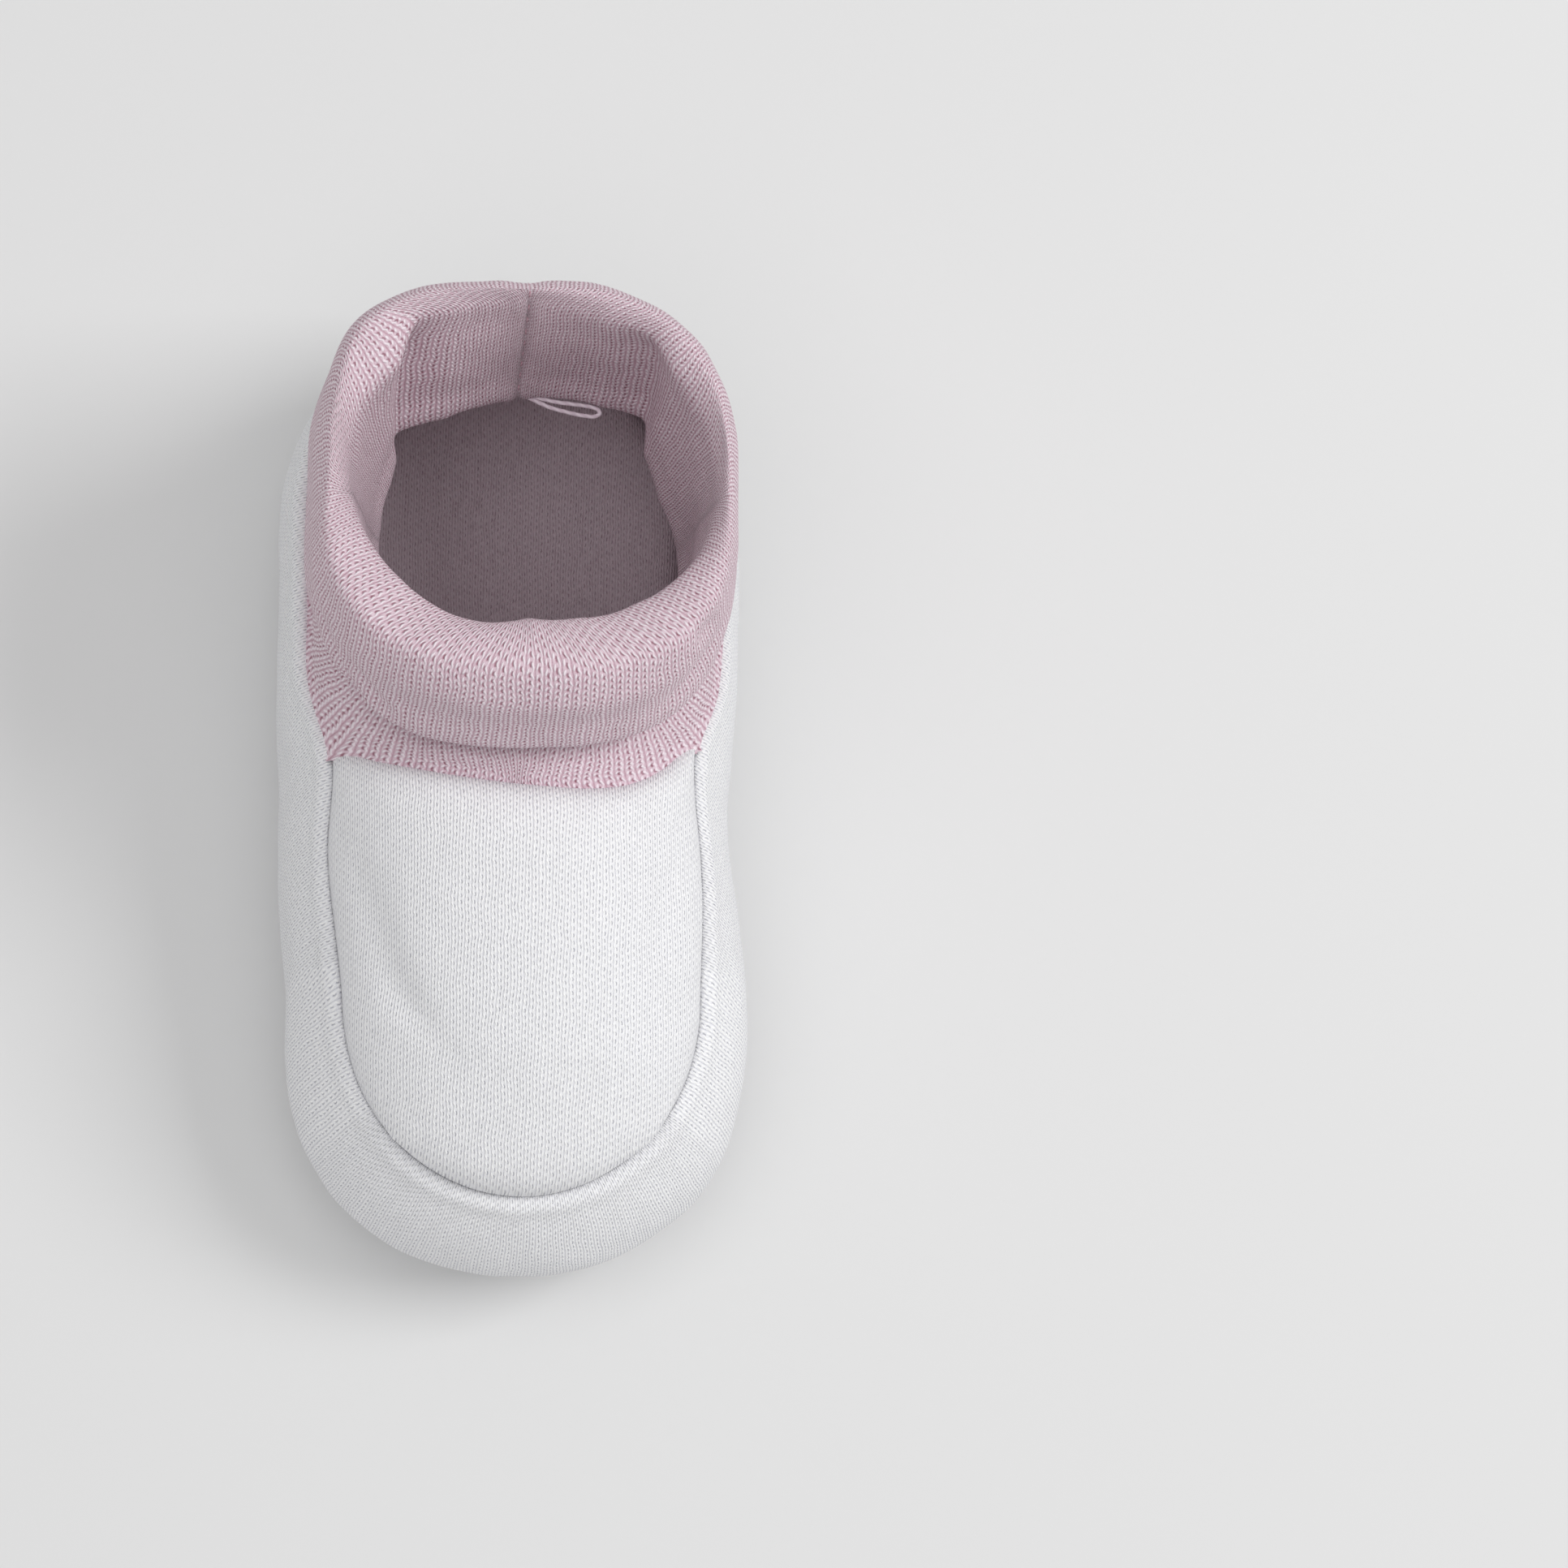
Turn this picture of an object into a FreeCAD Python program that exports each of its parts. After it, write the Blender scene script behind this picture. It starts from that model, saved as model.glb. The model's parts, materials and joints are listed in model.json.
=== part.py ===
"""Baby bootie: a padded knit foot with a turned-down ankle cuff.

+X is across the foot, +Y runs from toe to heel, +Z is up. The origin is on the ground
under the middle of the foot. Every dimension is in millimetres, every angle in degrees.
"""
import FreeCAD, Part
import Sketcher
import math
import os
import re

Vector = FreeCAD.Vector
Rotation = FreeCAD.Rotation
Placement = FreeCAD.Placement
Constraint = Sketcher.Constraint

# Driving dimensions: alias, value, meaning.
SIZES = [
    ("foot_length", 105.0, "toe to heel, outside"),
    ("foot_width", 49.0, "across the widest place"),
    ("heel_narrowing", 0.9, "heel's radius less than the toe's"),
    ("floor_length", 43.0, "flat stretch of the sole that rests on the ground"),
    ("floor_width", 29.0, "width of that flat stretch"),
    ("floor_centre", 6.5, "its middle, behind the middle of the foot"),
    ("rocker_height", 3.0, "where the curved sole has left the ground"),
    ("rocker_toe_inset", 15.0, "toe end pulled in there"),
    ("rocker_heel_inset", 12.0, "heel end pulled in there"),
    ("rocker_side_inset", 5.0, "sides pulled in there"),
    ("sole_seam_height", 8.0, "seam between the sole and the side band"),
    ("seam_toe_inset", 4.1, "toe end at the sole seam"),
    ("seam_heel_inset", 3.7, "heel end at the sole seam"),
    ("seam_side_inset", 1.7, "sides at the sole seam"),
    ("widest_height", 14.0, "height of the widest outline"),
    ("shoulder_height", 21.0, "where the band starts to curl inwards"),
    ("shoulder_toe_inset", 4.2, "toe end there"),
    ("shoulder_heel_inset", 0.8, "heel end there"),
    ("shoulder_side_inset", 1.0, "sides there"),
    ("band_top_height", 26.0, "seam along the top of the side band"),
    ("band_top_toe_inset", 10.5, "toe end of the band's top edge"),
    ("band_top_heel_inset", 6.0, "heel end of the band's top edge"),
    ("band_top_side_inset", 3.8, "sides of the band's top edge"),
    ("instep_height", 33.8, "middle of the vamp"),
    ("instep_reach", 32.0, "vamp's face there, ahead of a circle as wide as the cuff"),
    ("instep_front_radius", 16.0, "rounding of the vamp there"),
    ("ankle_height", 38.5, "top of the instep, where the cuff turns upright"),
    ("ankle_front_radius", 13.0, "rounding of the ankle over the instep"),
    ("ankle_tongue", 6.8, "ankle's reach over the instep, ahead of the cuff"),
    ("knit_thickness", 0.8, "outer interlock knit"),
    ("wadding_thickness", 1.6, "padding between knit and lining"),
    ("lining_thickness", 0.7, "brushed lining"),
    ("insole_thickness", 2.0, "padded insole"),
    ("cuff_thickness", 1.3, "doubled jersey of the cuff"),
    ("cuff_base_fill", 4.0, "turned-in seam and padding inside the cuff's base"),
    ("cuff_air_gap", 0.9, "air between the cuff's tube and its turn-down"),
    ("cuff_width", 43.0, "across the turned-down cuff"),
    ("cuff_straight", 4.0, "how much longer than wide the cuff is"),
    ("cuff_back_inset", 5.8, "back of the cuff, ahead of the heel"),
    ("collar_height", 40.0, "where the cuff's tube stands upright in front"),
    ("hem_height", 41.5, "turn-down's hem above the middle of the foot"),
    ("hem_tilt", 9.5, "fall of the hem towards the heel"),
    ("rim_height", 56.3, "top fold above the middle of the foot"),
    ("rim_tilt", 7.5, "fall of the top fold towards the heel"),
    ("rim_front_inset", 2.4, "front of the top fold, behind the hem's"),
    ("rim_rounding", 1.2, "how far the fold is pulled in at its very top"),
    ("seam_plane_foot", 3.5, "cuff seam's lower end, behind the front of the cuff"),
    ("seam_plane_lean", 32.0, "lean of the cuff seam towards the toe"),
    ("thread_width", 0.5, "locked stitches of a seam, each way"),
    ("thread_depth", 1.0, "a seam's thread inside the outer face"),
    ("loop_length", 8.0, "hang loop from eye to tip"),
    ("loop_width", 2.2, "hang loop across both strands"),
    ("loop_thread", 0.6, "hang loop's cord, each way"),
    ("loop_side", 1.5, "hang loop's eye beside the cuff's back seam"),
    ("loop_height", 30.0, "hang loop's eye above the ground"),
    ("loop_turn", 20.0, "hang loop's lean away from the cuff's wall"),
    ("loop_wall_gap", 1.7, "loop's eye off the cuff's inner face"),
    ("tack_diameter", 0.7, "bar tack through the loop's eye"),
    ("tack_bite", 0.8, "bar tack's length inside the cuff"),
    ("tack_head", 0.5, "bar tack's length beyond the loop"),
]

doc = FreeCAD.newDocument("BabyBootie")
sheet = doc.addObject("Spreadsheet::Sheet", "Sizes")
for row, (alias, value, meaning) in enumerate(SIZES, start=1):
    sheet.set(f"A{row}", meaning)
    sheet.set(f"B{row}", str(value))
    sheet.setAlias(f"B{row}", alias)
doc.recompute()


def bind(feature, prop, formula):
    """Bind a property to a formula in which [alias] stands for a cell of the sheet."""
    feature.setExpression(prop, re.sub(r"\[(\w+)\]", r"Sizes.\1", formula))


def plane(body, role):
    return next(item for item in body.Origin.OriginFeatures if item.Role == role)


def new_body(name):
    body = doc.addObject("PartDesign::Body", name)
    body.Label = name
    return body


# A level is one outline of the bootie: two arcs on the Y axis and their tangent lines.
def level(height, front, back, toe_radius, heel_radius, tilt="0"):
    return {
        "height": height,
        "tilt": tilt,
        "toe_centre": f"({front}) + ({toe_radius})",
        "heel_centre": f"({back}) - ({heel_radius})",
        "toe_radius": toe_radius,
        "heel_radius": heel_radius,
    }


def foot_level(height, toe_inset, heel_inset, side_inset):
    radius = f"[foot_width] / 2 - ({side_inset})"
    return level(height, f"-[foot_length] / 2 + {toe_inset}",
                 f"[foot_length] / 2 - {heel_inset}", radius, f"{radius} - [heel_narrowing]")


FLOOR = level("0", "[floor_centre] - [floor_length] / 2", "[floor_centre] + [floor_length] / 2",
              "[floor_width] / 2", "[floor_width] / 2")
ROCKER = foot_level("[rocker_height]", "[rocker_toe_inset]", "[rocker_heel_inset]",
                    "[rocker_side_inset]")
SOLE_SEAM = foot_level("[sole_seam_height]", "[seam_toe_inset]", "[seam_heel_inset]",
                       "[seam_side_inset]")
WIDEST = foot_level("[widest_height]", "0", "0", "0")
SHOULDER = foot_level("[shoulder_height]", "[shoulder_toe_inset]", "[shoulder_heel_inset]",
                      "[shoulder_side_inset]")
BAND_TOP = foot_level("[band_top_height]", "[band_top_toe_inset]", "[band_top_heel_inset]",
                      "[band_top_side_inset]")

CUFF_BACK = "([foot_length] / 2 - [cuff_back_inset])"
CUFF_FRONT = f"({CUFF_BACK} - [cuff_width] - [cuff_straight])"
CUFF_RADIUS = "([cuff_width] / 2)"
WALL_AND_GAP = "([cuff_thickness] + [cuff_air_gap])"
TUBE_RADIUS = f"({CUFF_RADIUS} - {WALL_AND_GAP})"
TUBE_BACK = f"({CUFF_BACK} - {WALL_AND_GAP})"
TUBE_FRONT = f"({CUFF_FRONT} + {WALL_AND_GAP})"
RIM_FRONT = f"({CUFF_FRONT} + [rim_front_inset])"

INSTEP = level("[instep_height]", f"{CUFF_BACK} - [cuff_width] - [instep_reach]",
               TUBE_BACK, "[instep_front_radius]", TUBE_RADIUS)
ANKLE = level("[ankle_height]", f"{TUBE_FRONT} - [ankle_tongue]", TUBE_BACK,
              "[ankle_front_radius]", TUBE_RADIUS)
COLLAR = level("[collar_height]", TUBE_FRONT, TUBE_BACK, TUBE_RADIUS, TUBE_RADIUS)
HEM = level("[hem_height]", CUFF_FRONT, CUFF_BACK, CUFF_RADIUS, CUFF_RADIUS, "-[hem_tilt]")
RIM = level("[rim_height]", RIM_FRONT, CUFF_BACK, CUFF_RADIUS, CUFF_RADIUS, "-[rim_tilt]")


def outline(body, name, shape, inset="0", rise="0"):
    """Draw a level's closed outline, pulled in by inset and moved up by rise."""
    sketch = body.newObject("Sketcher::SketchObject", name)
    sketch.AttachmentSupport = [(plane(body, "XY_Plane"), "")]
    sketch.MapMode = "FlatFace"
    sketch.AttachmentOffset = Placement(Vector(), Rotation(Vector(1, 0, 0), 1))
    bind(sketch, "AttachmentOffset.Base.z", f"{shape['height']} + {rise}")
    bind(sketch, "AttachmentOffset.Rotation.Angle", shape["tilt"])
    toe, heel, up = Vector(0, -10, 0), Vector(0, 10, 0), Vector(0, 0, 1)
    radius = 12
    side = Vector(radius, 0, 0)
    sketch.addGeometry(Part.ArcOfCircle(Part.Circle(toe, up, radius), math.pi, 2 * math.pi))
    sketch.addGeometry(Part.LineSegment(toe + side, heel + side))
    sketch.addGeometry(Part.ArcOfCircle(Part.Circle(heel, up, radius), 0, math.pi))
    sketch.addGeometry(Part.LineSegment(heel - side, toe - side))
    for index in range(4):
        sketch.addConstraint(Constraint("Tangent", index, 2, (index + 1) % 4, 1))
    for arc, end in ((0, "toe"), (2, "heel")):
        sketch.addConstraint(Constraint("PointOnObject", arc, 3, -2))
        centre_y = toe.y if end == "toe" else heel.y
        place = sketch.addConstraint(Constraint("DistanceY", -1, 1, arc, 3, centre_y))
        rounding = sketch.addConstraint(Constraint("Radius", arc, radius))
        bind(sketch, f"Constraints[{place}]", shape[f"{end}_centre"])
        bind(sketch, f"Constraints[{rounding}]", f"{shape[f'{end}_radius']} - ({inset})")
    return sketch


def loft(body, kind, name, sections):
    """Loft through (level, inset, rise) sections, straight from one to the next."""
    sketches = [outline(body, f"{name}_outline_{number}", *section)
                for number, section in enumerate(sections, start=1)]
    feature = body.newObject(f"PartDesign::{kind}Loft", name)
    feature.Profile = (sketches[0], [""])
    feature.Sections = [(sketch, [""]) for sketch in sketches[1:]]
    feature.Ruled = True
    return feature


def draw_rectangle(sketch, across, along):
    """A rectangle between two X and two Y positions."""
    corners = [Vector(-1, -1, 0), Vector(1, -1, 0), Vector(1, 1, 0), Vector(-1, 1, 0)]
    for index, corner in enumerate(corners):
        sketch.addGeometry(Part.LineSegment(corner, corners[(index + 1) % 4]))
    for index in range(4):
        sketch.addConstraint(Constraint("Coincident", index, 2, (index + 1) % 4, 1))
        sketch.addConstraint(Constraint("Vertical" if index % 2 else "Horizontal", index))
    for kind, corner, guess, formula in (("DistanceX", 0, -1.0, across[0]),
                                         ("DistanceX", 2, 1.0, across[1]),
                                         ("DistanceY", 0, -1.0, along[0]),
                                         ("DistanceY", 2, 1.0, along[1])):
        held = sketch.addConstraint(Constraint(kind, -1, 1, corner, 1, guess))
        bind(sketch, f"Constraints[{held}]", formula)


FAR = "(2 * [foot_length])"
EVERYWHERE = (f"-{FAR}", FAR)


def cut_away(body, name, side, height=FAR, across=EVERYWHERE, along=EVERYWHERE,
             place="0", turn="0"):
    """Remove what lies above or below a rectangle, turned about X at its place."""
    sketch = body.newObject("Sketcher::SketchObject", f"{name}_sketch")
    sketch.AttachmentSupport = [(plane(body, "XY_Plane"), "")]
    sketch.MapMode = "FlatFace"
    sketch.AttachmentOffset = Placement(Vector(), Rotation(Vector(1, 0, 0), 1))
    bind(sketch, "AttachmentOffset.Base.y", place)
    bind(sketch, "AttachmentOffset.Base.z", height)
    bind(sketch, "AttachmentOffset.Rotation.Angle", turn)
    draw_rectangle(sketch, across, along)
    pocket = body.newObject("PartDesign::Pocket", name)
    pocket.Profile = (sketch, [""])
    pocket.Type = "Length"
    pocket.Reversed = side == "above"
    bind(pocket, "Length", f"2 * {FAR}")


# The layers of the padding, as how far each face lies inside the outer face.
FACE = "0"
KNIT = "[knit_thickness]"
WADDING = "([knit_thickness] + [wadding_thickness])"
LINING = "([knit_thickness] + [wadding_thickness] + [lining_thickness])"
INSOLE = "([knit_thickness] + [wadding_thickness] + [insole_thickness])"
THREAD_OUT = "[thread_depth]"
THREAD_IN = "([thread_depth] + [thread_width])"
HALF_THREAD = "[thread_width] / 2"

SEAM_TURN = "[seam_plane_lean] - 90"
SEAM_SHIFT = "[thread_width] / 2 / cos([seam_plane_lean])"
ABOVE_BAND = f"[band_top_height] + {HALF_THREAD}"
BEFORE_SEAM = {"height": "[band_top_height]", "turn": SEAM_TURN,
               "place": f"{CUFF_FRONT} + [seam_plane_foot] - {SEAM_SHIFT}"}
BEHIND_SEAM = {"height": "[band_top_height]", "turn": SEAM_TURN,
               "place": f"{CUFF_FRONT} + [seam_plane_foot] + {SEAM_SHIFT}"}
SLIT = (f"-{HALF_THREAD}", HALF_THREAD)
HEEL_HALF = (f"{CUFF_BACK} - {CUFF_RADIUS}", FAR)


def add_layer(body, levels, outer, inner):
    """A layer between two insets of the same levels."""
    loft(body, "Additive", "outside", [(shape, outer, rise) for shape, rise in levels(outer)])
    loft(body, "Subtractive", "inside", [(shape, inner, rise) for shape, rise in levels(inner)])


def sole_levels(inset):
    return [(FLOOR, inset), (ROCKER, inset), (SOLE_SEAM, f"-{HALF_THREAD}")]


def band_levels(inset):
    return [(SOLE_SEAM, HALF_THREAD), (WIDEST, "0"), (SHOULDER, "0"),
            (BAND_TOP, f"-{HALF_THREAD}")]


def vamp_levels(inset):
    return [(BAND_TOP, f"-({inset})"), (INSTEP, f"-({inset})"), (ANKLE, f"-({inset})")]


def make_sole(name, outer, inner):
    add_layer(new_body(name), sole_levels, outer, inner)


def make_band(name, outer, inner, seam=None):
    """The side band's layer; the outer one meets itself at a seam down the heel."""
    body = new_body(name)
    add_layer(body, band_levels, outer, inner)
    if seam == "slit":
        cut_away(body, "heel_slit", "below", across=SLIT, along=HEEL_HALF)
    if seam == "thread":
        keep_slit(body)


def keep_slit(body):
    """Leave only the stretch that fills the slit down the back."""
    cut_away(body, "left_of_slit", "below", across=(f"-{FAR}", SLIT[0]))
    cut_away(body, "right_of_slit", "below", across=(SLIT[1], FAR))
    cut_away(body, "before_slit", "below", across=SLIT, along=(f"-{FAR}", HEEL_HALF[0]))


def make_vamp(name, outer, inner):
    body = new_body(name)
    add_layer(body, vamp_levels, outer, inner)
    cut_away(body, "band_side", "below", height=ABOVE_BAND)
    cut_away(body, "cuff_side", "above", **BEFORE_SEAM)


def make_cuff(name, seam):
    """A tube of doubled jersey, folded over at the rim and turned down outside itself.

    Its wall is thickest at the base, where the turned-in seam and the padding lie.
    """
    body = new_body(name)
    wall = "[cuff_thickness]"
    loft(body, "Additive", "turn_down_outside",
         [(HEM, "0", "0"), (RIM, "0", "-[rim_rounding]"), (RIM, "[rim_rounding]", "0")])
    loft(body, "Subtractive", "turn_down_inside",
         [(HEM, wall, "0"), (RIM, wall, f"-[rim_rounding] - {wall}")])
    loft(body, "Additive", "tube_outside",
         [(BAND_TOP, "0", HALF_THREAD), (INSTEP, "0", "0"), (ANKLE, "0", "0"),
          (COLLAR, "0", "0"), (RIM, WALL_AND_GAP, "-[rim_rounding]")])
    thinning = [(BAND_TOP, f"{wall} + [cuff_base_fill]"),
                (INSTEP, f"{wall} + [cuff_base_fill] * 2 / 3"),
                (ANKLE, f"{wall} + [cuff_base_fill] / 2")]
    loft(body, "Subtractive", "tube_inside",
         [(shape, inset, f"-({inset})") for shape, inset in thinning]
         + [(COLLAR, f"{wall} + [cuff_base_fill] / 3", "0"),
            (RIM, f"{WALL_AND_GAP} + {wall}", "[rim_rounding]")])
    cut_away(body, "vamp_side", "below", **BEHIND_SEAM)
    if seam == "slit":
        cut_away(body, "back_slit", "below", across=SLIT, along=HEEL_HALF)
    else:
        keep_slit(body)


def make_ring_thread(name, shape):
    """A seam's line of locked stitches, all the way round the foot."""
    body = new_body(name)
    ring = outline(body, "stitches_outside", shape, THREAD_OUT, f"-{HALF_THREAD}")
    pad = body.newObject("PartDesign::Pad", "stitches")
    pad.Profile = (ring, [""])
    bind(pad, "Length", "[thread_width]")
    hole = outline(body, "stitches_inside", shape, THREAD_IN, f"-{HALF_THREAD}")
    pocket = body.newObject("PartDesign::Pocket", "inside")
    pocket.Profile = (hole, [""])
    pocket.Reversed = True
    bind(pocket, "Length", "[thread_width]")


def make_ankle_thread():
    """The line of stitches between the vamp and the cuff, over the instep."""
    body = new_body("ankle_seam_thread")
    add_layer(body, vamp_levels, THREAD_OUT, THREAD_IN)
    cut_away(body, "band_side", "below", height=ABOVE_BAND)
    cut_away(body, "vamp_side", "below", **BEFORE_SEAM)
    cut_away(body, "cuff_side", "above", **BEHIND_SEAM)


# The hang loop stands in an upright plane; its eye turns on the bar tack.
CUFF_BASE_BACK = "([foot_length] / 2 - [band_top_heel_inset])"
CLIMB = "([loop_height] - [band_top_height]) / ([instep_height] - [band_top_height])"
WALL_AT_LOOP = (f"({CUFF_BASE_BACK} + ({TUBE_BACK} - {CUFF_BASE_BACK}) * {CLIMB}"
                f" - [cuff_thickness] - [cuff_base_fill] * (1 - {CLIMB} / 3))")
LOOP_RADIUS = "([loop_width] / 2)"
LOOP = level("-[loop_thread] / 2", f"-{LOOP_RADIUS}", f"[loop_length] - {LOOP_RADIUS}",
             LOOP_RADIUS, LOOP_RADIUS)
EYE = f"vector([loop_side]; {WALL_AT_LOOP} - [loop_wall_gap]; [loop_height])"
UPRIGHT = "rotation(vector(0; 0; 1); -[loop_turn]) * rotation(vector(1; 1; 1); -120)"


def place_at_eye(body):
    """Local Y along the loop, local X up, local Z from the eye to the cuff's wall."""
    bind(body, "Placement", f"placement({EYE}; {UPRIGHT})")


def make_hang_loop():
    body = new_body("hang_loop")
    pad = body.newObject("PartDesign::Pad", "strands")
    pad.Profile = (outline(body, "loop_outside", LOOP), [""])
    bind(pad, "Length", "[loop_thread]")
    pocket = body.newObject("PartDesign::Pocket", "eye")
    pocket.Profile = (outline(body, "loop_inside", LOOP, "[loop_thread]"), [""])
    pocket.Reversed = True
    bind(pocket, "Length", "[loop_thread]")
    place_at_eye(body)


def make_bar_tack():
    """Stitches packed into a round bar, through the loop's eye and into the cuff."""
    body = new_body("loop_bar_tack")
    sketch = body.newObject("Sketcher::SketchObject", "bar_end")
    sketch.AttachmentSupport = [(plane(body, "XY_Plane"), "")]
    sketch.MapMode = "FlatFace"
    bind(sketch, "AttachmentOffset.Base.z", "-[loop_thread] / 2 - [tack_head]")
    sketch.addGeometry(Part.Circle(Vector(), Vector(0, 0, 1), 1))
    sketch.addConstraint(Constraint("Coincident", 0, 3, -1, 1))
    rounding = sketch.addConstraint(Constraint("Radius", 0, 1))
    bind(sketch, f"Constraints[{rounding}]", "[tack_diameter] / 2")
    pad = body.newObject("PartDesign::Pad", "bar")
    pad.Profile = (sketch, [""])
    bind(pad, "Length",
         "[tack_head] + [loop_thread] / 2 + [loop_wall_gap] / cos([loop_turn]) + [tack_bite]")
    place_at_eye(body)


make_sole("sole_outer", FACE, KNIT)
make_sole("sole_wadding", KNIT, WADDING)
make_sole("insole", WADDING, INSOLE)
make_band("side_band", FACE, KNIT, "slit")
make_band("band_heel_seam_thread", FACE, KNIT, "thread")
make_band("band_wadding", KNIT, WADDING)
make_band("band_lining", WADDING, LINING)
make_vamp("vamp_panel", FACE, KNIT)
make_vamp("vamp_wadding", KNIT, WADDING)
make_vamp("vamp_lining", WADDING, LINING)
make_cuff("cuff", "slit")
make_cuff("cuff_back_seam_thread", "thread")
make_ring_thread("sole_seam_thread", SOLE_SEAM)
make_ring_thread("band_top_seam_thread", BAND_TOP)
make_ankle_thread()
make_hang_loop()
make_bar_tack()
doc.recompute()

failed = [item.Name for item in doc.Objects if "Invalid" in item.State or "Error" in item.State]
if failed:
    raise RuntimeError(f"these features failed: {failed}")
bodies = [item for item in doc.Objects if item.TypeId == "PartDesign::Body"]
for body in bodies:
    if body.Shape.isNull() or not body.Shape.isValid() or not body.Shape.Solids:
        raise RuntimeError(f"{body.Label} has no valid solid")
os.makedirs("parts", exist_ok=True)
for body in bodies:
    body.Shape.exportStep(f"parts/{body.Label}.step")
    print(body.Label, round(body.Shape.Volume, 1), "cubic mm")
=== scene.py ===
import json
import math

import bmesh
import bpy
import numpy as np
from mathutils import Matrix, Vector, noise


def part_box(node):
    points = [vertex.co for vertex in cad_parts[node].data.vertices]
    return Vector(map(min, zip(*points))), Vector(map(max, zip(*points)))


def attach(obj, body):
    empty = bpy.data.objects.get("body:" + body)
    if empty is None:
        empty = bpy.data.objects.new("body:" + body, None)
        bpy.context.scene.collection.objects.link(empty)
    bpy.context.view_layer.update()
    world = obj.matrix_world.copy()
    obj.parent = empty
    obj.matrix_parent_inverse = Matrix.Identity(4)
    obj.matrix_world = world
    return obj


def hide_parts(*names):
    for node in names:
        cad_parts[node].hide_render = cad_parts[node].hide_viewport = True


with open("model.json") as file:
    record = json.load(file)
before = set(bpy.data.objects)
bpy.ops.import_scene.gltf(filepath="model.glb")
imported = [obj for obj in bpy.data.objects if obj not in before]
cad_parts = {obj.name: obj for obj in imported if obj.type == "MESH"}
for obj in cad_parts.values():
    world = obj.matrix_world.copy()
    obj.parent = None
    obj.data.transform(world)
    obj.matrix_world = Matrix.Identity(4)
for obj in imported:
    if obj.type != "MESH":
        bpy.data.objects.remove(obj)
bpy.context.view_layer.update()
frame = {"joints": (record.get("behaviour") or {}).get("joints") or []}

# A baby bootie of cotton jersey: a white padded foot with a pink turned-down cuff.
# Points are worked out in millimetres, toe towards -Y, and written to the meshes in metres.
MM = 0.001
UP = np.array([0.0, 0.0, 1.0])


def box_in_mm(node_name):
    low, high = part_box(node_name)
    return np.array(low) / MM, np.array(high) / MM


band_low, band_high = box_in_mm("side_band")
_, cuff_high = box_in_mm("cuff")

HALF_WIDTH = band_high[0]
TOE_RADIUS = HALF_WIDTH + 3.0
HEEL_RADIUS = HALF_WIDTH
TOE_CENTRE = band_low[1] + TOE_RADIUS
HEEL_CENTRE = band_high[1] - HEEL_RADIUS
TOE_ARC = 41.0
HEEL_ARC = 38.5
SIDE_END = TOE_ARC + HEEL_CENTRE - TOE_CENTRE
HALF_ROUND = SIDE_END + HEEL_ARC

# Cloth thicknesses.
KNIT = 0.8
WADDING = 1.6
LINING = 0.7
LAYER_GAP = 0.05

# Stitch sizes of the two jerseys and of the lining: width of a wale, height of a course.
WHITE_WALE, WHITE_COURSE = 0.68, 0.76
PINK_WALE, PINK_COURSE = 0.88, 0.74
LINING_WALE, LINING_COURSE = 0.62, 0.75


# ---------------------------------------------------------------- curves and grids


def curve_through(stations, values, at):
    """A smooth curve through values set at the stations, level at both ends."""
    stations = np.asarray(stations, float)
    values = np.asarray(values, float)
    slopes = np.gradient(values, stations, axis=0)
    slopes[0] = 0
    slopes[-1] = 0
    at = np.asarray(at, float)
    before = np.clip(np.searchsorted(stations, at, side="right") - 1, 0, len(stations) - 2)
    step = stations[before + 1] - stations[before]
    s = np.clip((at - stations[before]) / step, 0, 1)
    if values.ndim > 1:
        s = s[..., None]
        step = step[..., None]
    first = (2 * s**3 - 3 * s**2 + 1) * values[before] + (s**3 - 2 * s**2 + s) * step * slopes[before]
    second = (3 * s**2 - 2 * s**3) * values[before + 1] + (s**3 - s**2) * step * slopes[before + 1]
    return first + second


def lengths_along(points):
    """The length walked to reach each point of a line of points."""
    steps = np.linalg.norm(np.diff(points, axis=0), axis=-1)
    return np.concatenate([[0.0], np.cumsum(steps)])


def normals_of(grid, closed=True):
    """The surface normal at each point of a grid whose rows may close on themselves."""
    along = np.gradient(grid, axis=0)
    if closed:
        along[0] = along[-1] = (grid[1] - grid[-2]) / 2
    across = np.gradient(grid, axis=1)
    normal = np.cross(along, across)
    size = np.linalg.norm(normal, axis=-1, keepdims=True)
    return normal / np.maximum(size, 1e-9)


def facing(normal, reference):
    """The normals, turned round where they face away from the reference directions."""
    if np.sum(normal * reference) < 0:
        return -normal
    return normal


def unevenness(grid, size, height):
    """Smooth random height at each point, for cloth that isn't perfectly even."""
    flat = grid.reshape(-1, 3)
    values = [noise.noise(Vector(point / size)) for point in flat]
    return height * np.array(values).reshape(grid.shape[:-1])


def gaussian(distance, width):
    return np.exp(-((distance / width) ** 2))


# ---------------------------------------------------------------- meshes


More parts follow.
